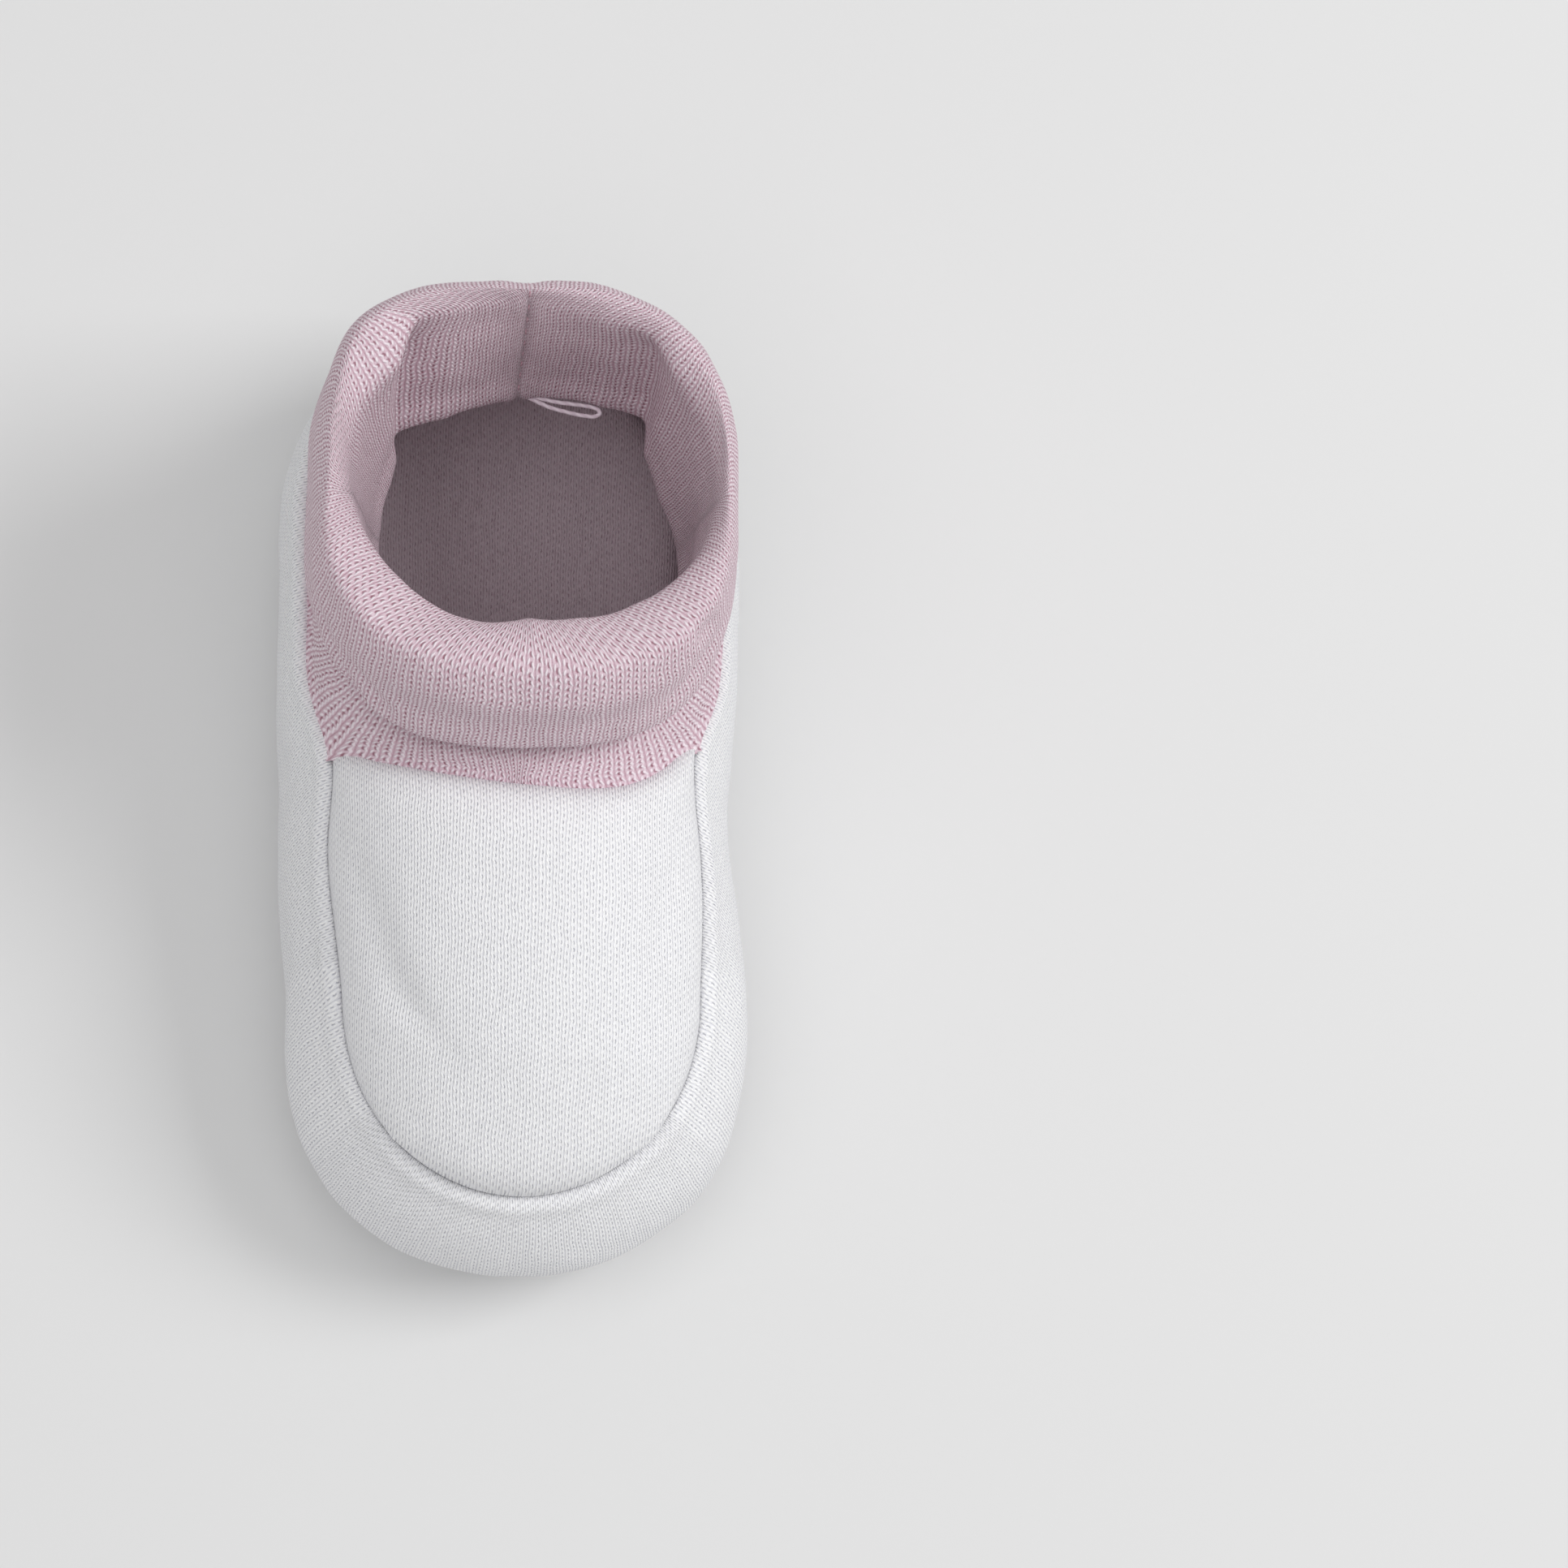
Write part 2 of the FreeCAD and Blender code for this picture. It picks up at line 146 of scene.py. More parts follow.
def finished_mesh(name, points, faces, uv):
    """A smooth mesh object with doubled points joined, faces turned outwards and knit coordinates."""
    mesh = bpy.data.meshes.new(name)
    mesh.from_pydata((points * MM).tolist(), [], faces)
    layer = mesh.uv_layers.new(name="knit")
    corners = np.empty(len(mesh.loops), dtype=np.int64)
    mesh.loops.foreach_get("vertex_index", corners)
    layer.data.foreach_set("uv", np.asarray(uv, np.float32)[corners].ravel())
    work = bmesh.new()
    work.from_mesh(mesh)
    bmesh.ops.remove_doubles(work, verts=work.verts, dist=2e-6)
    bmesh.ops.dissolve_degenerate(work, edges=work.edges, dist=1e-7)
    bmesh.ops.recalc_face_normals(work, faces=work.faces)
    for face in work.faces:
        face.smooth = True
    work.to_mesh(mesh)
    work.free()
    piece = bpy.data.objects.new(name, mesh)
    bpy.context.scene.collection.objects.link(piece)
    return piece


def quads(index):
    corners = [index[:-1, :-1], index[1:, :-1], index[1:, 1:], index[:-1, 1:]]
    return np.stack(corners, axis=-1).reshape(-1, 4)


def cloth(name, outer, inner, uv, edges):
    """One closed piece of cloth between an outer and an inner grid; edges are the grid's open sides."""
    count = outer.shape[0] * outer.shape[1]
    index = np.arange(count).reshape(outer.shape[:2])
    sides = {
        "first_row": index[0], "last_row": index[-1],
        "first_column": index[:, 0], "last_column": index[:, -1],
    }
    faces = [quads(index), quads(index + count)[:, ::-1]]
    for edge in edges:
        line = sides[edge]
        faces.append(np.stack([line[:-1], line[1:], line[1:] + count, line[:-1] + count], axis=-1))
    points = np.concatenate([outer.reshape(-1, 3), inner.reshape(-1, 3)])
    uv = np.concatenate([uv.reshape(-1, 2)] * 2)
    return finished_mesh(name, points, np.concatenate(faces).tolist(), uv)


def tube_grid(line, radii, sides):
    """Rings of points round a line, each ring in the plane across it."""
    line = np.asarray(line, float)
    along = np.gradient(line, axis=0)
    along /= np.linalg.norm(along, axis=1, keepdims=True)
    side = np.cross(along, UP + 1e-3)
    side /= np.linalg.norm(side, axis=1, keepdims=True)
    top = np.cross(side, along)
    angles = np.linspace(0, 2 * math.pi, sides + 1)
    ring = np.cos(angles)[None, :, None] * side[:, None] + np.sin(angles)[None, :, None] * top[:, None]
    return line[:, None] + ring * np.asarray(radii)[:, None, None]


def tubes(name, lines, radius, sides):
    """One object of several round-ended lengths of thread."""
    points, faces, uv, start = [], [], [], 0
    for line in lines:
        count = len(line)
        ends = np.clip(np.arange(count), 0, 1.5) / 1.5
        taper = np.sqrt(np.clip(np.minimum(ends, ends[::-1]), 0, 1))
        grid = tube_grid(line, radius * np.maximum(taper, 1e-4), sides)
        index = np.arange(count * (sides + 1)).reshape(count, sides + 1) + start
        walked = lengths_along(np.asarray(line))
        points.append(grid.reshape(-1, 3))
        faces.extend(quads(index).tolist())
        across = np.linspace(0, 2 * math.pi * radius, sides + 1)
        uv.append(np.stack(np.meshgrid(walked, across, indexing="ij"), axis=-1).reshape(-1, 2))
        start += count * (sides + 1)
    return finished_mesh(name, np.concatenate(points), faces, np.concatenate(uv))


def stitches(name, path, outward, pitch, radius, depth=0.12, points_each=7, sides=8):
    """A row of stitches along a seam: each bows out of the cloth and dips back in at both ends."""
    walked = lengths_along(path)
    count = max(2, int(walked[-1] / pitch))
    lines = []
    for number in range(count):
        start = walked[-1] * (number + 0.09) / count
        end = walked[-1] * (number + 0.91) / count
        at = np.linspace(start, end, points_each)
        line = np.stack([np.interp(at, walked, path[:, k]) for k in range(3)], axis=-1)
        lift = np.stack([np.interp(at, walked, outward[:, k]) for k in range(3)], axis=-1)
        bow = np.sin(np.linspace(0, math.pi, points_each))[:, None]
        lines.append(line + lift * (bow - 0.6) * depth)
    return tubes(name, lines, radius, sides)


def place(piece, material, node_name, body="bootie"):
    """Gives a piece its finish, makes it ride and stand for its CAD node."""
    piece.data.materials.append(material)
    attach(piece, body)
    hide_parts(node_name)
    return piece


# ---------------------------------------------------------------- materials


def hex_colour(text):
    """An sRGB hex colour as linear red, green, blue and alpha."""
    parts = [int(text[k:k + 2], 16) / 255 for k in (1, 3, 5)]
    linear = [c / 12.92 if c <= 0.04045 else ((c + 0.055) / 1.055) ** 2.4 for c in parts]
    return (*linear, 1.0)


def node(material, kind, inputs=None, **settings):
    """Adds one node, sets its settings, and fills its sockets with values or with other nodes' outputs."""
    tree = material.node_tree
    new = tree.nodes.new(kind)
    for key, value in settings.items():
        setattr(new, key, value)
    for key, value in (inputs or {}).items():
        if isinstance(value, bpy.types.NodeSocket):
            tree.links.new(value, new.inputs[key])
        else:
            new.inputs[key].default_value = value
    return new


def new_material(name):
    material = bpy.data.materials.new(name)
    material.use_nodes = True
    material.node_tree.nodes.clear()
    return material


def knit_material(
    name, wale, course, yarn, shade, gap_shade_colour, relief, rough, sheen, slub, wave, hole_width, between
):
    """Jersey: each wale has a nearly straight leg, a leg of short slanting dashes, and a hole in each course;
    its colour darkens with painted shade down into the holes and furrows.

    The knit coordinates are in millimetres, U across the wales and V along them.
    """
    material = new_material(name)
    uv = node(material, "ShaderNodeUVMap", uv_map="knit").outputs[0]
    place_in_space = node(material, "ShaderNodeTexCoord").outputs["Object"]
    # Wales wander a little where the cloth has been stretched by hand.
    wander = node(
        material, "ShaderNodeTexNoise", {"Vector": uv, "Scale": 0.22, "Detail": 3.0, "Roughness": 0.6}
    )
    shift = node(
        material, "ShaderNodeVectorMath",
        {0: wander.outputs["Color"], 1: (0.5, 0.5, 0.5)}, operation="SUBTRACT",
    )
    shift = node(
        material, "ShaderNodeVectorMath", {0: shift.outputs[0], "Scale": wale * 1.1}, operation="SCALE"
    )
    moved = node(material, "ShaderNodeVectorMath", {0: uv, 1: shift.outputs[0]}, operation="ADD")
    split = node(material, "ShaderNodeSeparateXYZ", {0: moved.outputs[0]})
    across = node(
        material, "ShaderNodeMath", {0: split.outputs[0], 1: wale}, operation="DIVIDE"
    ).outputs[0]
    along = node(
        material, "ShaderNodeMath", {0: split.outputs[1], 1: course}, operation="DIVIDE"
    ).outputs[0]
    cell = node(material, "ShaderNodeMath", {0: across}, operation="FRACT").outputs[0]
    # The courses of neighbouring wales lie half a stitch apart.
    wale_number = node(material, "ShaderNodeMath", {0: across}, operation="FLOOR").outputs[0]
    along = node(
        material, "ShaderNodeMath", {0: wale_number, 1: 0.5, 2: along}, operation="MULTIPLY_ADD"
    ).outputs[0]
    # The nearly straight leg, waving once in each course.
    turn = node(material, "ShaderNodeMath", {0: along, 1: 2 * math.pi}, operation="MULTIPLY").outputs[0]
    sway = node(material, "ShaderNodeMath", {0: turn}, operation="SINE").outputs[0]
    centre = node(
        material, "ShaderNodeMath", {0: sway, 1: wave, 2: 0.25}, operation="MULTIPLY_ADD"
    ).outputs[0]
    off = node(material, "ShaderNodeMath", {0: cell, 1: centre}, operation="SUBTRACT").outputs[0]
    off = node(material, "ShaderNodeMath", {0: off, 1: 0.19}, operation="DIVIDE").outputs[0]
    off = node(material, "ShaderNodeMath", {0: off, 1: off}, operation="MULTIPLY").outputs[0]
    straight = node(
        material, "ShaderNodeMath", {0: 1.0, 1: off}, operation="SUBTRACT", use_clamp=True
    ).outputs[0]
    # The leg of dashes: one in each course, slanting down to the right.
    beside = node(material, "ShaderNodeMath", {0: cell, 1: 0.74}, operation="SUBTRACT").outputs[0]
    slant = node(
        material, "ShaderNodeMath", {0: beside, 1: 1.1, 2: along}, operation="MULTIPLY_ADD"
    ).outputs[0]
    phase = node(material, "ShaderNodeMath", {0: slant}, operation="FRACT").outputs[0]
    phase = node(
        material, "ShaderNodeMath", {0: phase, 1: 2.0, 2: -1.0}, operation="MULTIPLY_ADD"
    ).outputs[0]
    phase = node(material, "ShaderNodeMath", {0: phase, 1: phase}, operation="MULTIPLY").outputs[0]
    beside = node(material, "ShaderNodeMath", {0: beside, 1: 0.195}, operation="DIVIDE").outputs[0]
    beside = node(material, "ShaderNodeMath", {0: beside, 1: beside}, operation="MULTIPLY").outputs[0]
    dashes = node(
        material, "ShaderNodeMath", {0: phase, 1: 1.4, 2: beside}, operation="MULTIPLY_ADD"
    ).outputs[0]
    dashes = node(
        material, "ShaderNodeMath", {0: 1.15, 1: dashes}, operation="SUBTRACT", use_clamp=True
    ).outputs[0]
    dashes = node(material, "ShaderNodeMath", {0: dashes, 1: 0.88}, operation="MULTIPLY").outputs[0]
    # The straight leg is fullest just above each turn of its wave.
    swell = node(material, "ShaderNodeMath", {0: turn, 1: 1.2}, operation="ADD").outputs[0]
    swell = node(material, "ShaderNodeMath", {0: swell}, operation="SINE").outputs[0]
    swell = node(
        material, "ShaderNodeMath", {0: swell, 1: 0.2, 2: 0.8}, operation="MULTIPLY_ADD"
    ).outputs[0]
    straight = node(material, "ShaderNodeMath", {0: straight, 1: swell}, operation="MULTIPLY").outputs[0]
    stitch = node(
        material, "ShaderNodeMath", {0: straight, 1: dashes, 2: 0.15}, operation="SMOOTH_MAX"
    ).outputs[0]
    # The hole beside each stitch, and the furrow between one wale and the next.
    from_hole = node(material, "ShaderNodeMath", {0: cell, 1: 0.5}, operation="SUBTRACT").outputs[0]
    from_hole = node(material, "ShaderNodeMath", {0: from_hole, 1: hole_width}, operation="DIVIDE").outputs[0]
    from_hole = node(
        material, "ShaderNodeMath", {0: from_hole, 1: from_hole}, operation="MULTIPLY"
    ).outputs[0]
    step = node(material, "ShaderNodeMath", {0: along, 1: 0.3}, operation="ADD").outputs[0]
    step = node(material, "ShaderNodeMath", {0: step}, operation="FRACT").outputs[0]
    step = node(
        material, "ShaderNodeMath", {0: step, 1: 3.0, 2: -1.5}, operation="MULTIPLY_ADD"
    ).outputs[0]
    step = node(
        material, "ShaderNodeMath", {0: step, 1: step, 2: from_hole}, operation="MULTIPLY_ADD"
    ).outputs[0]
    hole = node(
        material, "ShaderNodeMath", {0: 1.25, 1: step}, operation="SUBTRACT", use_clamp=True
    ).outputs[0]
    ground = node(
        material, "ShaderNodeMath", {0: hole, 1: -0.42, 2: 0.42}, operation="MULTIPLY_ADD"
    ).outputs[0]
    furrow = node(material, "ShaderNodeMath", {0: cell, 1: 0.5}, operation="SUBTRACT").outputs[0]
    furrow = node(material, "ShaderNodeMath", {0: furrow}, operation="ABSOLUTE").outputs[0]
    furrow = node(
        material, "ShaderNodeMapRange", {0: furrow, 1: 0.38, 2: 0.5, 3: 0.0, 4: between}, clamp=True
    ).outputs[0]
    ground = node(material, "ShaderNodeMath", {0: ground, 1: furrow}, operation="SUBTRACT").outputs[0]
    stitch = node(material, "ShaderNodeMath", {0: stitch, 1: ground}, operation="MAXIMUM").outputs[0]
    # Fibres: fine fuzz that breaks up every strand, and uneven yarn from stitch to stitch.
    fuzz = node(
        material, "ShaderNodeTexNoise",
        {"Vector": place_in_space, "Scale": 5200.0, "Detail": 2.0, "Roughness": 0.7},
    ).outputs[0]
    uneven = node(
        material, "ShaderNodeTexNoise", {"Vector": uv, "Scale": 1.1, "Detail": 2.0, "Roughness": 0.5}
    ).outputs[0]
    height = node(
        material, "ShaderNodeMath", {0: fuzz, 1: slub, 2: stitch}, operation="MULTIPLY_ADD"
    ).outputs[0]
    height = node(
        material, "ShaderNodeMath", {0: uneven, 1: slub, 2: height}, operation="MULTIPLY_ADD"
    ).outputs[0]
    level = node(
        material, "ShaderNodeMapRange",
        {0: height, 1: slub - slub * 0.25, 2: slub + 0.9, 3: 0.0, 4: 1.0}, clamp=True,
    ).outputs[0]
    # Colour by stitch height: the gap colour in the holes and furrows is painted shade, and the shade colour
    # is a painted half-shade between them and the raised yarn.
    ramp = node(material, "ShaderNodeValToRGB", {0: level})
    ramp.color_ramp.elements[0].color = hex_colour(gap_shade_colour)
    ramp.color_ramp.elements[1].color = hex_colour(yarn)
    ramp.color_ramp.elements[1].position = 0.85
    middle = ramp.color_ramp.elements.new(0.38)
    middle.color = hex_colour(shade)
    bump = node(
        material, "ShaderNodeBump", {"Height": height, "Strength": 1.0, "Distance": relief * MM}
    )
    surface = node(
        material, "ShaderNodeBsdfPrincipled",
        {
            "Base Color": ramp.outputs[0], "Roughness": rough, "Normal": bump.outputs[0],
            "Sheen Weight": sheen, "Sheen Roughness": 0.45, "Specular IOR Level": 0.2,
        },
    )
    node(material, "ShaderNodeOutputMaterial", {"Surface": surface.outputs[0]})
    return material


def fleece_material(name, colour, shadow):
    """Wadding: loose matted fibres with no pattern, only soft lumps."""
    material = new_material(name)
    place_in_space = node(material, "ShaderNodeTexCoord").outputs["Object"]
    lumps = node(
        material, "ShaderNodeTexNoise",
        {"Vector": place_in_space, "Scale": 900.0, "Detail": 6.0, "Roughness": 0.75},
    ).outputs[0]
    tint = node(
        material, "ShaderNodeMix",
        {0: lumps, 6: hex_colour(shadow), 7: hex_colour(colour)}, data_type="RGBA",
    )
    bump = node(material, "ShaderNodeBump", {"Height": lumps, "Strength": 1.0, "Distance": 0.4 * MM})
    surface = node(
        material, "ShaderNodeBsdfPrincipled",
        {"Base Color": tint.outputs[2], "Roughness": 0.95, "Normal": bump.outputs[0], "Sheen Weight": 0.3},
    )
    node(material, "ShaderNodeOutputMaterial", {"Surface": surface.outputs[0]})
    return material


def thread_material(name, light, dark, ply):
    """Twisted sewing thread or cord: slanting plies, worked out from the ply's length in millimetres."""
    material = new_material(name)
    uv = node(material, "ShaderNodeUVMap", uv_map="knit").outputs[0]
    plies = node(
        material, "ShaderNodeTexWave",
        {"Vector": uv, "Scale": 0.32 / ply, "Distortion": 1.2, "Detail": 1.0},
        bands_direction="DIAGONAL",
    ).outputs[1]
    tint = node(
        material, "ShaderNodeMix", {0: plies, 6: hex_colour(dark), 7: hex_colour(light)}, data_type="RGBA"
    )
    bump = node(material, "ShaderNodeBump", {"Height": plies, "Strength": 1.0, "Distance": 0.05 * MM})
    surface = node(
        material, "ShaderNodeBsdfPrincipled",
        {"Base Color": tint.outputs[2], "Roughness": 0.6, "Normal": bump.outputs[0], "Sheen Weight": 0.2},
    )
    node(material, "ShaderNodeOutputMaterial", {"Surface": surface.outputs[0]})
    return material


# Combed cotton jersey, bleached: bright matt strands, with painted grey shade in the gaps.
white_knit = knit_material(
    "bleached_cotton_jersey", WHITE_WALE, WHITE_COURSE, "#FFFFFF", "#EAEAEE", "#ABABB4",
    relief=0.1, rough=0.85, sheen=0.05, slub=0.3, wave=0.07, hole_width=0.13, between=0.3,
)
# Cotton jersey from mixed pink and white yarn: pale strands over deeper pink gaps, the gaps partly deeper
# pink yarn and partly painted shade.
pink_jersey = knit_material(
    "pink_cotton_jersey", PINK_WALE, PINK_COURSE, "#F4E8EF", "#D0B1BE", "#955F6D",
    relief=0.16, rough=0.88, sheen=0.08, slub=0.3, wave=0.06, hole_width=0.17, between=0.25,
)
# Jersey with its inside brushed to a nap: the wales only just show through the fuzz. Its colours are darker
# than the real pale lining, as painted shade for the inside of the bootie, with painted shade in its gaps as
# well.
lining_with_painted_shade = knit_material(
    "brushed_cotton_lining", LINING_WALE, LINING_COURSE, "#DACBD2", "#CAB6BF", "#A08892",
    relief=0.12, rough=0.95, sheen=0.3, slub=0.6, wave=0.04, hole_width=0.12, between=0.3,
)
wadding_fleece = fleece_material("polyester_wadding", "#F2F1EE", "#D9D7D3")
white_thread = thread_material("white_cotton_thread", "#F4F4F6", "#C4C4CC", ply=0.35)
pink_thread = thread_material("pink_cotton_thread", "#D9B3BF", "#B98997", ply=0.35)
loop_cord = thread_material("lilac_braided_cord", "#EEE2EA", "#DDCCD7", ply=0.6)


# ---------------------------------------------------------------- the padded foot

# Round the foot, as half the way from the toe tip to the back of the heel in millimetres:
# the sole seam, the two handles of the band's bulge, and the top seam, each as (reach, height).
BAND_STATIONS = {
    0: ((23.4, 7.8), (30.5, 8.5), (27.0, 19.0), (19.7, 24.4)),
    20: ((23.4, 7.0), (30.2, 8.2), (27.0, 19.2), (19.1, 24.6)),
    41: ((21.8, 7.2), (26.0, 9.5), (25.0, 20.5), (18.7, 25.3)),
    56: ((22.2, 8.9), (26.2, 11.5), (25.4, 22.5), (19.5, 27.6)),
    66.5: ((22.3, 7.9), (25.8, 11.0), (25.0, 24.0), (19.0, 29.5)),
    74: ((22.4, 6.7), (25.8, 9.5), (25.4, 22.5), (21.2, 26.5)),
    86: ((22.4, 5.6), (25.7, 8.5), (25.5, 21.5), (21.9, 25.2)),
    94: ((22.6, 6.6), (25.6, 9.5), (25.3, 21.8), (21.9, 25.2)),
    107: ((23.0, 9.0), (25.4, 12.0), (25.0, 25.0), (21.0, 26.4)),
    120: ((24.0, 12.0), (25.2, 15.5), (24.6, 28.8), (18.6, 28.6)),
    132.5: ((24.3, 13.8), (25.0, 18.0), (24.4, 30.3), (17.0, 29.0)),
}
# How far the cloth turns in at a seam, straight down at the top one and straight in at the sole's.
SEAM_TUCK = 0.85
VAMP_CORNERS = (-66.5, 68.4)
VAMP_TOE = 20.0


def spine(around):
    """The point that the foot's outline turns about, and the direction outwards, all round the foot."""
    side = np.sign(around)
    way = np.abs(around)
    toe_turn = np.clip(way / TOE_ARC, 0, 1) * math.pi / 2
    heel_turn = np.clip((way - SIDE_END) / HEEL_ARC, 0, 1) * math.pi / 2
    centre = np.clip(TOE_CENTRE + way - TOE_ARC, TOE_CENTRE, HEEL_CENTRE)
    out_x = np.where(way < SIDE_END, np.sin(toe_turn), np.cos(heel_turn)) * side
    out_y = np.where(way < SIDE_END, -np.cos(toe_turn), np.sin(heel_turn))
    return centre, out_x, out_y


def band_profile(around):
    """The four points of the band's cross-section at each place round the foot, as reach and height."""
    stations = list(BAND_STATIONS)
    values = np.array([BAND_STATIONS[s] for s in stations], float).reshape(len(stations), 8)
    # A worn-in shape: the right side has its vamp corner further back, a waist beside the vamp
    # and a fuller ball of the foot.
    around = np.asarray(around, float)
    right = np.where(around > 0, 1.0, 0.0)
    way = np.abs(around) - right * 1.8 * gaussian(np.abs(around) - 67.5, 9)
    profile = curve_through(stations, values, way).reshape(*np.shape(around), 4, 2).copy()
    waist = -1.1 * gaussian(np.abs(around) - 60, 8) + 0.5 * gaussian(np.abs(around) - 43, 7)
    profile[..., 1:3, 0] += (right * waist)[..., None]
    return profile


def toe_lean(y):
    """How far the toe of a left bootie leans to the right at each place along it."""
    share = np.clip((-2.0 - y) / 26.0, 0, 1)
    return 1.3 * share**2 * (3 - 2 * share)


def on_foot(around, reach, height):
    centre, out_x, out_y = spine(around)
    y = centre + out_y * reach
    return np.stack([out_x * reach + toe_lean(y), y, height], axis=-1)


def top_seam(around):
    profile = band_profile(around)
    return on_foot(around, profile[..., 3, 0], profile[..., 3, 1])


def sole_edge(around):
    profile = band_profile(around)
    return on_foot(around, profile[..., 0, 0], profile[..., 0, 1])


def bezier(profile, t):
    """Points at the shares t of each cross-section's Bezier curve."""
    t = np.asarray(t)[None, :, None]
    first, second, third, last = (profile[:, None, k] for k in range(4))
    return (1 - t) ** 3 * first + 3 * t * (1 - t) ** 2 * second + 3 * t**2 * (1 - t) * third + t**3 * last


def pinch(share, length, reach=1.6):
    """0 at both sewn edges of a panel and 1 between them, rising over reach millimetres."""
    from_edge = np.minimum(share, 1 - share) * length
    return 1 - np.exp(-from_edge / reach)


def band_surface():
    """The band's outer face from the sole seam to the top seam, with its length along and across."""
    around = np.linspace(-HALF_ROUND, HALF_ROUND, 561)
    share = 0.5 - 0.5 * np.cos(np.linspace(0, math.pi, 57))
    curve = bezier(band_profile(around), share)
    grid = on_foot(np.repeat(around[:, None], len(share), 1), curve[..., 0], curve[..., 1])
    normal = normals_of(grid)
    _, out_x, out_y = spine(around)
    outwards = np.stack([out_x, out_y, np.zeros_like(out_x)], axis=-1)[:, None] + 0 * grid
    normal = facing(normal, outwards)
    heights = np.array([lengths_along(row) for row in grid])
    from_edge = np.minimum(heights, heights[:, -1:] - heights)
    # The cloth turns in at both seams; a ridge of seam allowance stands just below the top one.
    ridge = 0.42 * gaussian(heights[:, -1:] - heights - 1.6, 1.1)
    free = 1 - np.exp(-from_edge / 0.8)
    uneven = unevenness(grid, 14.0, 0.45) + unevenness(grid + 40, 4.0, 0.10)
    grid = grid + normal * (free * (ridge + uneven))[..., None]
    grid = grid - SEAM_TUCK * np.exp(-heights / 0.55)[..., None] * outwards
    grid = grid - SEAM_TUCK * np.exp((heights - heights[:, -1:]) / 0.55)[..., None] * UP
    return around, share, grid, normal, heights


around, band_share, band_outer, band_normal, band_heights = band_surface()
band_length = float(np.mean(band_heights[:, -1]))
layer_depth = pinch(band_share, band_length)[None, :, None]

# Wales stand up the band and lean back towards the heel on both sides.
walked_round = np.interp(
    np.abs(around), np.abs(around[len(around) // 2:]), lengths_along(band_outer[len(around) // 2:, 28])
) * np.sign(around)
LEAN, LEAN_START, LEAN_FADE = 0.35, 25, 20
past_toe = np.clip((np.abs(around) - LEAN_START) / LEAN_FADE, 0, 1)
before_heel = np.clip((HALF_ROUND - np.abs(around)) / LEAN_FADE, 0, 1)
lean = LEAN * np.sign(around) * past_toe * before_heel
band_uv = np.stack([walked_round[:, None] - lean[:, None] * band_heights, band_heights], axis=-1)

band = cloth(
    "side_band_knit", band_outer, band_outer - band_normal * (KNIT * (0.4 + 0.6 * layer_depth)),
    band_uv, ["first_column", "last_column"],
)
place(band, white_knit, "side_band")


def under_layer(name, outer, normal, depth, start, thickness, uv, edges, step):
    """A layer sewn in under a panel: it starts at a depth below the panel's face and thins at the seams."""
    upper = (outer - normal * (start * depth + 0.35))[::step, ::step]
    lower = (outer - normal * ((start + thickness) * depth + 0.45))[::step, ::step]
    return cloth(name, upper, lower, uv[::step, ::step], edges)


under_wadding = KNIT + LAYER_GAP
under_lining = under_wadding + WADDING + LAYER_GAP
band_wadding = under_layer(
    "band_wadding_fleece", band_outer, band_normal, layer_depth, under_wadding, WADDING, band_uv,
    ["first_column", "last_column"], 4,
)
place(band_wadding, wadding_fleece, "band_wadding")
band_lining = under_layer(
    "band_lining_brushed", band_outer, band_normal, layer_depth, under_lining, LINING, band_uv,
    ["first_column", "last_column"], 2,
)
place(band_lining, lining_with_painted_shade, "band_lining")


# ---------------------------------------------------------------- the vamp

# The seam that joins the vamp to the cuff, from the left corner to the right: its place along the foot.
ANKLE_SEAM = {
    -1: 0.6, -0.72: -1.0, -0.34: -2.7, 0.13: -3.7, 0.42: -3.7,
    0.6: -3.0, 0.79: -1.0, 0.91: 1.1, 1: 2.3,
}
INSTEP_RISE = 9.0


def ankle_seam(share):
    """Points of the ankle seam, arching over the instep, at shares from -1 at the left corner to 1."""
    left, right = top_seam(np.array(VAMP_CORNERS))
    share = np.asarray(share, float)
    x = np.where(share < 0, -left[0], right[0]) * share
    keys = list(ANKLE_SEAM)
    y = curve_through(keys, list(ANKLE_SEAM.values()), share)
    blend = np.clip((np.abs(share) - 0.85) / 0.15, 0, 1)
    ends = np.where(share < 0, left[1], right[1])
    y = y + (ends - np.where(share < 0, ANKLE_SEAM[-1], ANKLE_SEAM[1])) * blend
    z = np.where(share < 0, left[2], right[2]) + INSTEP_RISE * (1 - np.abs(share) ** 2.2) ** 0.8
    return np.stack([x, y, z], axis=-1)


# Soft creases pressed into the vamp, each from one point to another, with its depth and width.
VAMP_CREASES = [
    ((-17.0, -8.0), (-10.0, -27.0), 0.55, 1.8),
    ((-14.5, -20.0), (-6.0, -31.0), 0.35, 1.6),
    ((16.5, -8.0), (13.5, -24.0), 0.40, 1.8),
    ((17.8, -5.0), (9.0, -9.0), 0.25, 1.7),
]


def crease_depth(grid, creases):
    """How deep the creases press in at each point; one given by X and Y alone goes through all heights."""
    total = np.zeros(grid.shape[:-1])
    for start, end, depth, width in creases:
        start = np.array(start)
        run = np.array(end) - start
        places = grid[..., :len(start)]
        share = np.clip(((places - start) @ run) / (run @ run), 0, 1)
        away = np.linalg.norm(places - (start + share[..., None] * run), axis=-1)
        total += depth * gaussian(away, width) * np.sin(math.pi * (0.08 + 0.84 * share))
    return total


VAMP_POINTS = 121
EDGE_CROWDING = 0.35


def closer_at_ends(count):
    """Shares from 0 to 1 that lie a little closer together near both ends."""
    rounded = np.cos(np.linspace(0, math.pi, count))
    even = 1 - 2 * np.linspace(0, 1, count)
    shares = 0.5 - 0.5 * rounded * EDGE_CROWDING - (1 - EDGE_CROWDING) / 2 * even
    return (shares - shares[0]) / (shares[-1] - shares[0])


